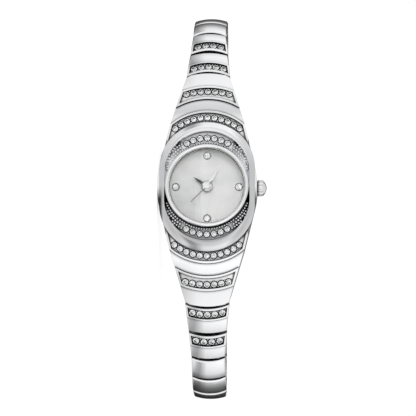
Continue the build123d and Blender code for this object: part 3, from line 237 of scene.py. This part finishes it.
# Strengths of the tent, for what it lights and for what is seen of it
SOFT_STRENGTH = 0.55
MIRROR_STRENGTH = 1.12
SPARKLE_STRENGTH = 1.35
SEEN_STRENGTH = 1.0

# Floor, its reach in metres
FLOOR_REACH = 3.0
FLOOR_GRAIN = 8.0
FLOOR_TONES = ((0.3, 0.80), (0.7, 0.83))
FLOOR_GLOW = 0.6

# Lamps: place, size and watts
LAMPS = (("key", (60, 120, 380), 260, 1.2), ("fill", (-160, -140, 280), 260, 0.6))


# Small tools
def in_watch(x, y, z):
    """A point of the watch, in the frame's metres."""
    return WATCH @ Vector((x, y, z))


def new_piece(name, body, material, bm):
    """A mesh piece that rides on a body."""
    mesh = bpy.data.meshes.new(name)
    bm.to_mesh(mesh)
    bm.free()
    mesh.materials.append(material)
    piece = bpy.data.objects.new(name, mesh)
    bpy.context.scene.collection.objects.link(piece)
    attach(piece, body)
    return piece


def smooth(piece):
    for polygon in piece.data.polygons:
        polygon.use_smooth = True


def standing(centre, normal, spin=0.0):
    """A matrix that stands a shape at a centre, with its z along the normal."""
    turn = normal.to_track_quat("Z", "Y").to_matrix().to_4x4()
    return Matrix.Translation(centre) @ turn @ Matrix.Rotation(spin, 4, "Z")


# Node materials
def add(tree, kind, inputs=None, **settings):
    """A new node, with its settings and its inputs' values or links."""
    node = tree.nodes.new(kind)
    for key, value in settings.items():
        setattr(node, key, value)
    for key, value in (inputs or {}).items():
        if isinstance(value, bpy.types.NodeSocket):
            tree.links.new(value, node.inputs[key])
        else:
            node.inputs[key].default_value = value
    return node


def ramp(tree, source, stops):
    """A colour ramp whose stops are places and greys or colours."""
    node = add(tree, "ShaderNodeValToRGB", {"Fac": source})
    elements = node.color_ramp.elements
    while len(elements) < len(stops):
        elements.new(0.5)
    for element, (place, colour) in zip(elements, stops):
        element.position = place
        element.color = (*colour, 1) if isinstance(colour, tuple) else (colour, colour, colour, 1)
    return node.outputs["Color"]


def spread(tree, source, low, high, start=0.0, end=1.0):
    """A value moved from one range to another."""
    inputs = {"Value": source, "From Min": start, "From Max": end, "To Min": low, "To Max": high}
    return add(tree, "ShaderNodeMapRange", inputs).outputs["Result"]


def noise(tree, size, detail=2.0, rough=0.5, stretch=None):
    """Cloudy noise whose patches are about a size in millimetres."""
    place = add(tree, "ShaderNodeTexCoord").outputs["Object"]
    if stretch:
        inputs = {"Vector": place, "Scale": stretch}
        place = add(tree, "ShaderNodeMapping", inputs).outputs["Vector"]
    inputs = {"Vector": place, "Scale": 1 / (size * MM), "Detail": detail, "Roughness": rough}
    return add(tree, "ShaderNodeTexNoise", inputs).outputs["Fac"]


def multiply(tree, one, other):
    """Two colours multiplied."""
    inputs = {"Factor": 1.0, "A": one, "B": other}
    mixed = add(tree, "ShaderNodeMix", inputs, data_type="RGBA", blend_type="MULTIPLY")
    return mixed.outputs["Result"]


def mixed_colour(tree, share, one, other):
    """One colour going over to another by a share."""
    inputs = {"Factor": share, "A": one, "B": other}
    return add(tree, "ShaderNodeMix", inputs, data_type="RGBA").outputs["Result"]


def from_axis(tree, radius, centre=0.0):
    """The distance from an axis square to the dial, as a share of a radius."""
    place = add(tree, "ShaderNodeTexCoord").outputs["Object"]
    scale = 1 / (radius * MM)
    inputs = {"Vector": place, "Location": (-centre / radius, 0, 0), "Scale": (scale, 0, scale)}
    flat = add(tree, "ShaderNodeMapping", inputs).outputs["Vector"]
    return add(tree, "ShaderNodeVectorMath", {0: flat}, operation="LENGTH").outputs["Value"]


def towards_twelve(tree, stops, span=OPEN_SPAN):
    """A ramp whose stops are places along y, in millimetres, within half a span of the axis."""
    place = add(tree, "ShaderNodeTexCoord").outputs["Object"]
    inputs = {0: place, 1: tuple(ALONG / (span * MM))}
    way = add(tree, "ShaderNodeVectorMath", inputs, operation="DOT_PRODUCT").outputs["Value"]
    centred = spread(tree, way, 0, 1, -0.5, 0.5)
    return ramp(tree, centred, [(y / span + 0.5, strength) for y, strength in stops])


def new_material(name):
    """An empty node material and its tree."""
    material = bpy.data.materials.new(name)
    material.use_nodes = True
    material.node_tree.nodes.clear()
    return material, material.node_tree


def finish_material(tree, shader):
    add(tree, "ShaderNodeOutputMaterial", {"Surface": shader})


def metal(
    name,
    tones,
    rough_low,
    rough_high,
    grain=METAL_GRAIN,
    stretch=None,
    shade=None,
    reach=CREVICE_REACH,
    painted_shade=CREVICE_PAINTED_SHADE,
    light=None,
):
    """Metal that is a little worn in patches, with painted shade in its crevices, and rounded at its
    edges.
    """
    clean, worn = tones
    material, tree = new_material(name)
    patches = noise(tree, WEAR_PATCH, detail=5.0, rough=0.6)
    fine = noise(tree, grain, detail=3.0, stretch=stretch)
    base = mixed_colour(tree, patches, (*worn, 1), (*clean, 1))
    # Painted shade: ambient occlusion darkens the colour in crevices, and the light mask keeps it
    # light along y
    if painted_shade:
        depth = add(tree, "ShaderNodeAmbientOcclusion", {"Distance": reach * MM}, samples=8)
        dark = ramp(tree, depth.outputs["AO"], painted_shade)
        if light:
            dark = mixed_colour(tree, towards_twelve(tree, light), dark, WHITE)
        base = multiply(tree, base, dark)
    if shade:
        base = multiply(tree, base, shade(tree))
    rough = spread(tree, fine, rough_low, rough_high)
    edge = add(tree, "ShaderNodeBevel", {"Radius": EDGE_RADIUS * MM}, samples=4)
    inputs = {
        "Strength": 0.04,
        "Distance": GRAIN_DEPTH * MM,
        "Height": fine,
        "Normal": edge.outputs["Normal"],
    }
    bump = add(tree, "ShaderNodeBump", inputs)
    inputs = {
        "Base Color": base,
        "Metallic": 1.0,
        "Roughness": rough,
        "Normal": bump.outputs["Normal"],
    }
    shader = add(tree, "ShaderNodeBsdfPrincipled", inputs)
    finish_material(tree, shader.outputs["BSDF"])
    return material


def gem(name):
    """Clear cut crystal with faint clouds."""
    material, tree = new_material(name)
    tint = ramp(tree, noise(tree, STONE_CLOUD), [(0.3, STONE_TINT), (0.7, (1.0, 1.0, 1.0))])
    inputs = {
        "Base Color": tint,
        "Roughness": 0.01,
        "IOR": STONE_INDEX,
        "Transmission Weight": 1.0,
    }
    shader = add(tree, "ShaderNodeBsdfPrincipled", inputs)
    finish_material(tree, shader.outputs["BSDF"])
    return material


def pane(name):
    """Crystal glass that lets the lamps through."""
    material, tree = new_material(name)
    smear = spread(tree, noise(tree, SMEAR, detail=4.0), 0.0, 0.02)
    inputs = {
        "Base Color": WHITE,
        "Roughness": smear,
        "IOR": GLASS_INDEX,
        "Transmission Weight": 1.0,
    }
    glass = add(tree, "ShaderNodeBsdfPrincipled", inputs)
    clear = add(tree, "ShaderNodeBsdfTransparent")
    path = add(tree, "ShaderNodeLightPath")
    mixed = add(tree, "ShaderNodeMixShader", {0: path.outputs["Is Shadow Ray"]})
    tree.links.new(glass.outputs["BSDF"], mixed.inputs[1])
    tree.links.new(clear.outputs["BSDF"], mixed.inputs[2])
    finish_material(tree, mixed.outputs["Shader"])
    return material


def dial_shade(tree):
    """The soft shade that the bezel throws on the dial's edge."""
    return ramp(tree, from_axis(tree, DIAL_EDGE), DIAL_RIM_SHADE)


def band_painted_reflection(tree):
    """Painted reflection: the band is painted greyer on its inner side at 6 o'clock, and at 3 and 9
    o'clock, standing in for the darker surroundings it mirrors there.
    """
    inner = ramp(tree, from_axis(tree, BAND_RADIUS, BAND_CENTRE), BAND_INNER)
    place = add(tree, "ShaderNodeTexCoord").outputs["Object"]
    way = add(tree, "ShaderNodeVectorMath", {0: place, 1: tuple(-ALONG / MM)}, operation="DOT_PRODUCT")
    low = spread(tree, way.outputs["Value"], 0, 1, BAND_LOW_START, BAND_LOW_END)
    lower = mixed_colour(tree, low, WHITE, inner)
    return multiply(tree, lower, towards_twelve(tree, BAND_SIDES))


def blade_shade(tree):
    """The hour hand is nearly black outside its boss."""
    return ramp(tree, from_axis(tree, HUB_REACH), HOUR_HAND_SHADE)


def needle_shade(tree):
    """The second hand is grey outside its boss."""
    return ramp(tree, from_axis(tree, HUB_REACH), SECOND_HAND_SHADE)


def pearl(name):
    """Mother-of-pearl: soft clouds with a faint change of hue."""
    material, tree = new_material(name)
    clouds = noise(tree, PEARL_CLOUD, detail=3.0, rough=0.45)
    veins = noise(tree, PEARL_VEIN, detail=6.0, rough=0.65, stretch=(1.0, 1.0, 0.35))
    wide = ramp(tree, clouds, PEARL_CLOUDS)
    thin = ramp(tree, veins, PEARL_VEINS)
    base = multiply(tree, multiply(tree, wide, thin), dial_shade(tree))
    rough = spread(tree, veins, 0.28, 0.42)
    inputs = {
        "Base Color": base,
        "Roughness": rough,
        "Coat Weight": 0.35,
        "Coat Roughness": 0.12,
        "Sheen Weight": 0.1,
    }
    shader = add(tree, "ShaderNodeBsdfPrincipled", inputs)
    finish_material(tree, shader.outputs["BSDF"])
    return material


def solid_matter(name, tones, rough_low, rough_high):
    """Rubber or plastic with a fine mottle."""
    dark, light = tones
    material, tree = new_material(name)
    mottle = noise(tree, MOTTLE, detail=4.0)
    base = ramp(tree, mottle, [(0.35, dark), (0.65, light)])
    inputs = {"Strength": 0.15, "Distance": MOTTLE_DEPTH * MM, "Height": mottle}
    bump = add(tree, "ShaderNodeBump", inputs)
    inputs = {
        "Base Color": base,
        "Roughness": spread(tree, mottle, rough_low, rough_high),
        "Normal": bump.outputs["Normal"],
    }
    shader = add(tree, "ShaderNodeBsdfPrincipled", inputs)
    finish_material(tree, shader.outputs["BSDF"])
    return material


STEEL_ROUGH = (0.045, 0.10)
HAND_ROUGH = (0.3, 0.38)

MATERIALS = {
    "polished_steel": metal("polished_steel_look", POLISHED, *STEEL_ROUGH),
    "head_steel": metal("head_steel_look", POLISHED, *STEEL_ROUGH, light=SHADE_FREE_SIDES),
    # Painted shade in the deep grooves round the band, and painted reflection greys on the band
    "band_steel": metal(
        "band_steel_look",
        POLISHED,
        0.05,
        0.10,
        shade=band_painted_reflection,
        reach=GROOVE_REACH,
        painted_shade=GROOVE_PAINTED_SHADE,
        light=SHADE_FREE_SIDES,
    ),
    "bead_steel": metal("bead_steel_look", SATIN, 0.05, 0.12, painted_shade=None),
    "brushed_steel": metal("brushed_steel_look", BRUSHED, 0.18, 0.34, stretch=(0.1, 1.0, 1.0)),
    # Black as painted shade, for the stones' seats and the dial's cups
    "dark_steel": metal("shade_black_look", SHADE_BLACK, 0.1, 0.2),
    "hand_steel": metal("hand_steel_look", SATIN, *HAND_ROUGH, painted_shade=None),
    "hour_hand": metal("hour_hand_look", SATIN, *HAND_ROUGH, shade=blade_shade, painted_shade=None),
    "second_hand": metal("second_hand_look", SATIN, *HAND_ROUGH, shade=needle_shade, painted_shade=None),
    "clear_stone": gem("clear_stone_look"),
    "crystal_glass": pane("crystal_glass_look"),
    "pearl_dial": pearl("pearl_dial_look"),
    "seal_rubber": solid_matter("seal_rubber_look", RUBBER, 0.55, 0.75),
    "holder_plastic": solid_matter("holder_plastic_look", IVORY_PLASTIC, 0.4, 0.55),
    "board_plastic": solid_matter("board_plastic_look", GREEN_PLASTIC, 0.35, 0.5),
    "copper_wire": metal("copper_wire_look", COPPER, 0.2, 0.34),
    "gilt_brass": metal("gilt_brass_look", BRASS, 0.14, 0.26),
}


def dress_nodes():
    """Every node of the frame takes the look of its own slot."""
    for node in frame["nodes"].values():
        for holder in node.material_slots:
            slot = holder.material.name.split(".")[0]
            holder.material = MATERIALS[slot]
    frame["nodes"]["hour_hand"].material_slots[0].material = MATERIALS["hour_hand"]
    frame["nodes"]["second_hand"].material_slots[0].material = MATERIALS["second_hand"]
    frame["nodes"]["oval_band"].material_slots[0].material = MATERIALS["band_steel"]
    for name in ("case_body", "bezel_ring"):
        frame["nodes"][name].material_slots[0].material = MATERIALS["head_steel"]


# Stones
def loose_parts(name):
    """The separate solids of a node, as lists of faces of one welded mesh."""
    bm = bmesh.new()
    bm.from_mesh(frame["nodes"][name].data)
    bmesh.ops.remove_doubles(bm, verts=bm.verts, dist=WELD)
    seen, parts = set(), []
    for face in bm.faces:
        if face in seen:
            continue
        seen.add(face)
        waiting, part = [face], []
        while waiting:
            current = waiting.pop()
            part.append(current)
            for edge in current.edges:
                for other in edge.link_faces:
                    if other not in seen:
                        seen.add(other)
                        waiting.append(other)
        parts.append(part)
    return bm, parts


def stone_places(name):
    """The middle of each stone's table, its outward direction and its radius."""
    bm, parts = loose_parts(name)
    places = []
    for part in parts:
        areas = {}
        for face in part:
            key = tuple(round(value, 2) for value in face.normal)
            areas.setdefault(key, []).append(face)
        table = max(areas.values(), key=lambda faces: sum(face.calc_area() for face in faces))
        corners = {vert for face in table for vert in face.verts}
        middle = sum((vert.co for vert in corners), Vector()) / len(corners)
        radius = max((vert.co - middle).length for vert in corners) / TABLE_SHARE
        places.append((middle.copy(), table[0].normal.copy(), radius))
    bm.free()
    return places


def add_brilliant(bm, place, radius):
    """A round stone with star, kite, girdle and pavilion facets, table at the place's height."""
    top = (CROWN_SHARE + GIRDLE_SHARE) * radius

    def ring(count, reach, height, turn=0.0):
        angles = [2 * math.pi * (i + turn) / count for i in range(count)]
        points = [Vector((reach * math.cos(a), reach * math.sin(a), height - top)) for a in angles]
        return [bm.verts.new(place @ point) for point in points]

    table = ring(8, TABLE_SHARE * radius, top)
    stars = ring(8, STAR_REACH_SHARE * radius, top - STAR_HEIGHT_SHARE * radius, 0.5)
    upper = ring(16, radius, GIRDLE_SHARE * radius)
    lower = ring(16, radius, 0)
    inner = ring(8, LOWER_REACH_SHARE * radius, -LOWER_HEIGHT_SHARE * radius, 0.5)
    culet = bm.verts.new(place @ Vector((0, 0, -PAVILION_SHARE * radius - top)))
    bm.faces.new(table)
    for i in range(8):
        j, g = (i + 1) % 8, 2 * i
        last = (g + 2) % 16
        bm.faces.new((table[j], table[i], stars[i]))
        bm.faces.new((table[i], stars[i - 1], upper[g], stars[i]))
        bm.faces.new((stars[i], upper[g], upper[g + 1]))
        bm.faces.new((stars[i], upper[g + 1], upper[last]))
        bm.faces.new((inner[i], lower[g + 1], lower[g]))
        bm.faces.new((inner[i], lower[last], lower[g + 1]))
        bm.faces.new((culet, inner[i], lower[g], inner[i - 1]))
        bm.faces.new((upper[g], lower[g], lower[g + 1], upper[g + 1]))
        bm.faces.new((upper[g + 1], lower[g + 1], lower[last], upper[last]))


def add_seat(bm, place, radius):
    """The rim of the seat that shows round a stone, as a closed ring; its black is painted shade."""
    low = SEAT_DEPTH_SHARE + SEAT_THICKNESS_SHARE
    section = (
        (SEAT_INNER_SHARE, SEAT_DEPTH_SHARE),
        (SEAT_OUTER_SHARE, SEAT_DEPTH_SHARE),
        (SEAT_OUTER_SHARE, low),
        (SEAT_INNER_SHARE, low),
    )
    rings = []
    for reach, depth in section:
        angles = [2 * math.pi * i / SEAT_SIDES for i in range(SEAT_SIDES)]
        points = [Vector((reach * math.cos(a), reach * math.sin(a), -depth)) * radius for a in angles]
        rings.append([bm.verts.new(place @ point) for point in points])
    for k, ring in enumerate(rings):
        before = rings[k - 1]
        for i in range(SEAT_SIDES):
            bm.faces.new((before[i - 1], ring[i - 1], ring[i], before[i]))


def stone_seats(name, body):
    """The seats round one node's stones, black as painted shade between the stones."""
    bm = bmesh.new()
    for middle, normal, radius in stone_places(name):
        add_seat(bm, standing(middle, normal), radius * STONE_SHARE)
    bmesh.ops.recalc_face_normals(bm, faces=bm.faces)
    new_piece(name + "_seats", body, MATERIALS["dark_steel"], bm)


def cut_stones(name, body, draw):
    """Faceted stones in place of one node's plain ones."""
    bm = bmesh.new()
    share = DIAL_STONE_SHARE if name == "dial_stones" else STONE_SHARE
    for middle, normal, radius in stone_places(name):
        add_brilliant(bm, standing(middle, normal, draw.uniform(0, math.pi / 4)), radius * share)
    bmesh.ops.recalc_face_normals(bm, faces=bm.faces)
    piece = new_piece(name + "_cut", body, MATERIALS["clear_stone"], bm)
    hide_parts(name)


def add_bead(bm, centre, radius):
    """A small round bead."""
    bmesh.ops.create_uvsphere(
        bm,
        u_segments=BEAD_SIDES,
        v_segments=BEAD_RINGS,
        radius=radius,
        matrix=Matrix.Translation(centre),
    )


def body_of(node):
    """The body that a node rides on."""
    for body, nodes in frame["record"]["behaviour"]["bodies"].items():
        if node in nodes:
            return body
    return "head"


def bezel_beads():
    """A row of tiny beads along the bezel in each crescent."""
    bm = bmesh.new()
    step = BEZEL_BEAD_PITCH / BEZEL_BEAD_CIRCLE
    count = int(math.radians(BEZEL_BEAD_SPAN) / step)
    for side in (0, math.pi):
        for i in range(-count, count + 1):
            turn = side + i * step
            x, y = BEZEL_BEAD_CIRCLE * math.sin(turn), BEZEL_BEAD_CIRCLE * math.cos(turn)
            centre = in_watch(x, y, WINDOW_FLOOR + BEZEL_BEAD_RADIUS / 2)
            add_bead(bm, centre, BEZEL_BEAD_RADIUS * MM)
    smooth(new_piece("bezel_beads", "head", MATERIALS["bead_steel"], bm))


def crescent_tips():
    """Rows of fine beads that fill the crescents' tips."""
    bm = bmesh.new()
    for circle, first, last, size in TIP_ROWS:
        step = math.degrees((size + TIP_ROOM) / circle)
        for k in range(int((last - first) / step) + 1):
            for side, way in ((0, 1), (0, -1), (180, 1), (180, -1)):
                turn = math.radians(side + way * (first + k * step))
                x, y = circle * math.sin(turn), circle * math.cos(turn)
                add_bead(bm, in_watch(x, y, WINDOW_FLOOR + size / 4), size / 2 * MM)
    smooth(new_piece("crescent_tips", "head", MATERIALS["bead_steel"], bm))


def row_beads(name, body):
    """Two beads between each two neighbours of a row."""
    bm = bmesh.new()
    rows = {}
    for middle, normal, radius in stone_places(name):
        rows.setdefault(middle.dot(ALONG) > 0, []).append((middle, normal, radius))
    for row in rows.values():
        row.sort(key=lambda one: one[0].dot(ACROSS))
        for (a, na, ra), (b, nb, rb) in zip(row, row[1:]):
            normal = (na + nb).normalized()
            side = normal.cross((b - a).normalized())
            reach = min(ra, rb) * ROW_BEAD_REACH_SHARE
            centre = (a + b) / 2 - normal * min(ra, rb) * ROW_BEAD_DEPTH_SHARE
            for way in (-1, 1):
                add_bead(bm, centre + side * reach * way, BEAD_RADIUS * MM)
    smooth(new_piece(name + "_beads", body, MATERIALS["bead_steel"], bm))


def all_stones():
    draw = random.Random(7)
    names = [name for name in frame["nodes"] if name.endswith("_stones")]
    for name in sorted(names):
        cut_stones(name, body_of(name), draw)
        if name != "dial_stones":
            stone_seats(name, body_of(name))
            row_beads(name, body_of(name))
    crescent_tips()


# Dial
def add_ring(bm, centre, radius, wire, sides=40, around=8):
    """A round wire ring that lies flat on the dial."""
    for i in range(sides):
        turn = 2 * math.pi * i / sides
        for k in range(around):
            roll = 2 * math.pi * k / around
            reach = radius + wire * math.cos(roll)
            x, y = reach * math.cos(turn), reach * math.sin(turn)
            bm.verts.new(WATCH @ (centre + Vector((x, y, wire * math.sin(roll)))))
    bm.verts.ensure_lookup_table()
    first = len(bm.verts) - sides * around
    for i in range(sides):
        for k in range(around):
            a = first + i * around + k
            b = first + i * around + (k + 1) % around
            c = first + ((i + 1) % sides) * around + (k + 1) % around
            d = first + ((i + 1) % sides) * around + k
            bm.faces.new([bm.verts[index] for index in (a, b, c, d)])


def dial_cups():
    """A thin cup wall round each of the dial's stones, black as a painted dark outline of shade."""
    bm = bmesh.new()
    for quarter in range(4):
        turn = math.radians(quarter * 90)
        x, y = DIAL_STONE_CIRCLE * math.sin(turn), DIAL_STONE_CIRCLE * math.cos(turn)
        add_ring(bm, Vector((x, y, DIAL_TOP)), CUP_RADIUS, CUP_WIRE)
    bmesh.ops.recalc_face_normals(bm, faces=bm.faces)
    smooth(new_piece("dial_stone_cups", "head", MATERIALS["dark_steel"], bm))


# Stage
def floor():
    """A pale sheet under the watch, where its flank and its clasp's edge touch."""
    low, reach = CAD_BOX[0].z, FLOOR_REACH
    mesh = bpy.data.meshes.new("floor")
    corners = [(-reach, -reach, low), (reach, -reach, low), (reach, reach, low), (-reach, reach, low)]
    mesh.from_pydata(corners, [], [(0, 1, 2, 3)])
    material, tree = new_material("floor_look")
    grain = ramp(tree, noise(tree, FLOOR_GRAIN, detail=3.0), FLOOR_TONES)
    paper = add(tree, "ShaderNodeBsdfDiffuse", {"Color": grain})
    path = add(tree, "ShaderNodeLightPath")
    seen = path.outputs["Is Camera Ray"]
    for kind in ("Is Glossy Ray", "Is Transmission Ray"):
        inputs = {0: seen, 1: path.outputs[kind]}
        seen = add(tree, "ShaderNodeMath", inputs, operation="MAXIMUM").outputs[0]
    strength = add(tree, "ShaderNodeMath", {0: seen, 1: FLOOR_GLOW}, operation="MULTIPLY")
    glow = add(tree, "ShaderNodeEmission", {"Strength": strength.outputs[0]})
    both = add(tree, "ShaderNodeAddShader", {0: paper.outputs[0], 1: glow.outputs[0]})
    finish_material(tree, both.outputs[0])
    mesh.materials.append(material)
    sheet = bpy.data.objects.new("floor", mesh)
    sheet.visible_glossy = False
    bpy.context.scene.collection.objects.link(sheet)


def studio_world():
    """A white tent: white to the eye, with its darker sides in what metal mirrors."""
    world = bpy.data.worlds.new("studio")
    bpy.context.scene.world = world
    world.use_nodes = True
    tree = world.node_tree
    tree.nodes.clear()
    way = add(tree, "ShaderNodeTexCoord").outputs["Generated"]

    def along(direction):
        inputs = {0: way, 1: tuple(direction)}
        return add(tree, "ShaderNodeVectorMath", inputs, operation="DOT_PRODUCT").outputs["Value"]

    turn = add(tree, "ShaderNodeMath", {0: along(ALONG), 1: along(OUTWARD)}, operation="ARCTAN2")
    turn = spread(tree, turn.outputs[0], 0, 1, -math.pi, math.pi)

    def by_angle(stops):
        return ramp(tree, turn, [((angle + 180) / 360, value) for angle, value in stops])

    def by_cosine(source, stops):
        return ramp(tree, source, [((cosine + 1) / 2, value) for cosine, value in stops])

    side = spread(tree, along(ACROSS), 0, 1, -1, 1)
    strong, gentle = by_cosine(side, MIRRORED_ACROSS), by_cosine(side, MIRRORED_ACROSS_FLAT)
    by_side = mixed_colour(tree, by_angle(FLATNESS), strong, gentle)
    facing = multiply(tree, by_angle(MIRRORED_ALONG), by_side)
    out = spread(tree, along(OUTWARD), 0, 1, -1, 1)
    by_out = by_cosine(out, MIRRORED_SIDEWAYS)
    mirrored = mixed_colour(tree, by_cosine(side, SIDEWAYS), facing, by_out)
    inputs = {"Vector": way, "Scale": 1 / SPARKLE_SIZE, "Detail": 1.0}
    flecks = add(tree, "ShaderNodeTexNoise", inputs)
    sparkle = ramp(tree, flecks.outputs["Fac"], SPARKLE)
    path = add(tree, "ShaderNodeLightPath")

    def light(colour, strength):
        inputs = {"Color": colour, "Strength": strength}
        return add(tree, "ShaderNodeBackground", inputs).outputs[0]

    sky = light(WHITE, SOFT_STRENGTH)
    kinds = (
        ("Is Glossy Ray", light(mirrored, MIRROR_STRENGTH)),
        ("Is Transmission Ray", light(sparkle, SPARKLE_STRENGTH)),
        ("Is Camera Ray", light(WHITE, SEEN_STRENGTH)),
    )
    for kind, seen in kinds:
        inputs = {0: path.outputs[kind], 1: sky, 2: seen}
        sky = add(tree, "ShaderNodeMixShader", inputs).outputs[0]
    add(tree, "ShaderNodeOutputWorld", {"Surface": sky})


def lamp(name, place, size, power):
    """A square soft lamp that looks at the watch."""
    data = bpy.data.lights.new(name, "AREA")
    data.shape = "SQUARE"
    data.size = size * MM
    data.energy = power
    light = bpy.data.objects.new(name, data)
    light.location = in_watch(*place)
    aim = in_watch(0, 0, 0) - light.location
    light.rotation_mode = "QUATERNION"
    light.rotation_quaternion = aim.to_track_quat("-Z", "Y")
    light.visible_glossy = False
    light.visible_transmission = False
    bpy.context.scene.collection.objects.link(light)


def camera():
    """The photograph's view: nearly square to the dial, from a little below and to the right."""
    yaw, pitch, roll = (math.radians(angle) for angle in (VIEW_YAW, VIEW_PITCH, VIEW_ROLL))
    back = Vector((math.sin(yaw) * math.cos(pitch), -math.sin(pitch), math.cos(yaw) * math.cos(pitch)))
    right = Vector((0, 1, 0)).cross(back).normalized()
    up = back.cross(right)
    target = Vector((0, 0, HUB_HEIGHT)) + right * CENTRE_RIGHT - up * CENTRE_DOWN
    place = target + back * CAMERA_DISTANCE
    turned_right = right * math.cos(roll) + up * math.sin(roll)
    turned_up = up * math.cos(roll) - right * math.sin(roll)
    turn = WATCH.to_3x3() * (1 / MM)
    columns = [(turn @ axis).normalized() for axis in (turned_right, turned_up, back)]
    data = bpy.data.cameras.new("camera")
    data.sensor_width = SENSOR_WIDTH
    data.angle = 2 * math.atan(VIEW_WIDTH / 2 / CAMERA_DISTANCE)
    data.clip_start, data.clip_end = CLIP_START, CLIP_END
    view = bpy.data.objects.new("camera", data)
    view.matrix_world = Matrix.Translation(WATCH @ place) @ Matrix(columns).transposed().to_4x4()
    bpy.context.scene.collection.objects.link(view)
    bpy.context.scene.camera = view


def stage():
    floor()
    studio_world()
    for name, place, size, power in LAMPS:
        lamp(name, place, size, power)
    camera()
    bpy.context.scene.view_settings.view_transform = "Standard"


dress_nodes()
all_stones()
dial_cups()
bezel_beads()
stage()
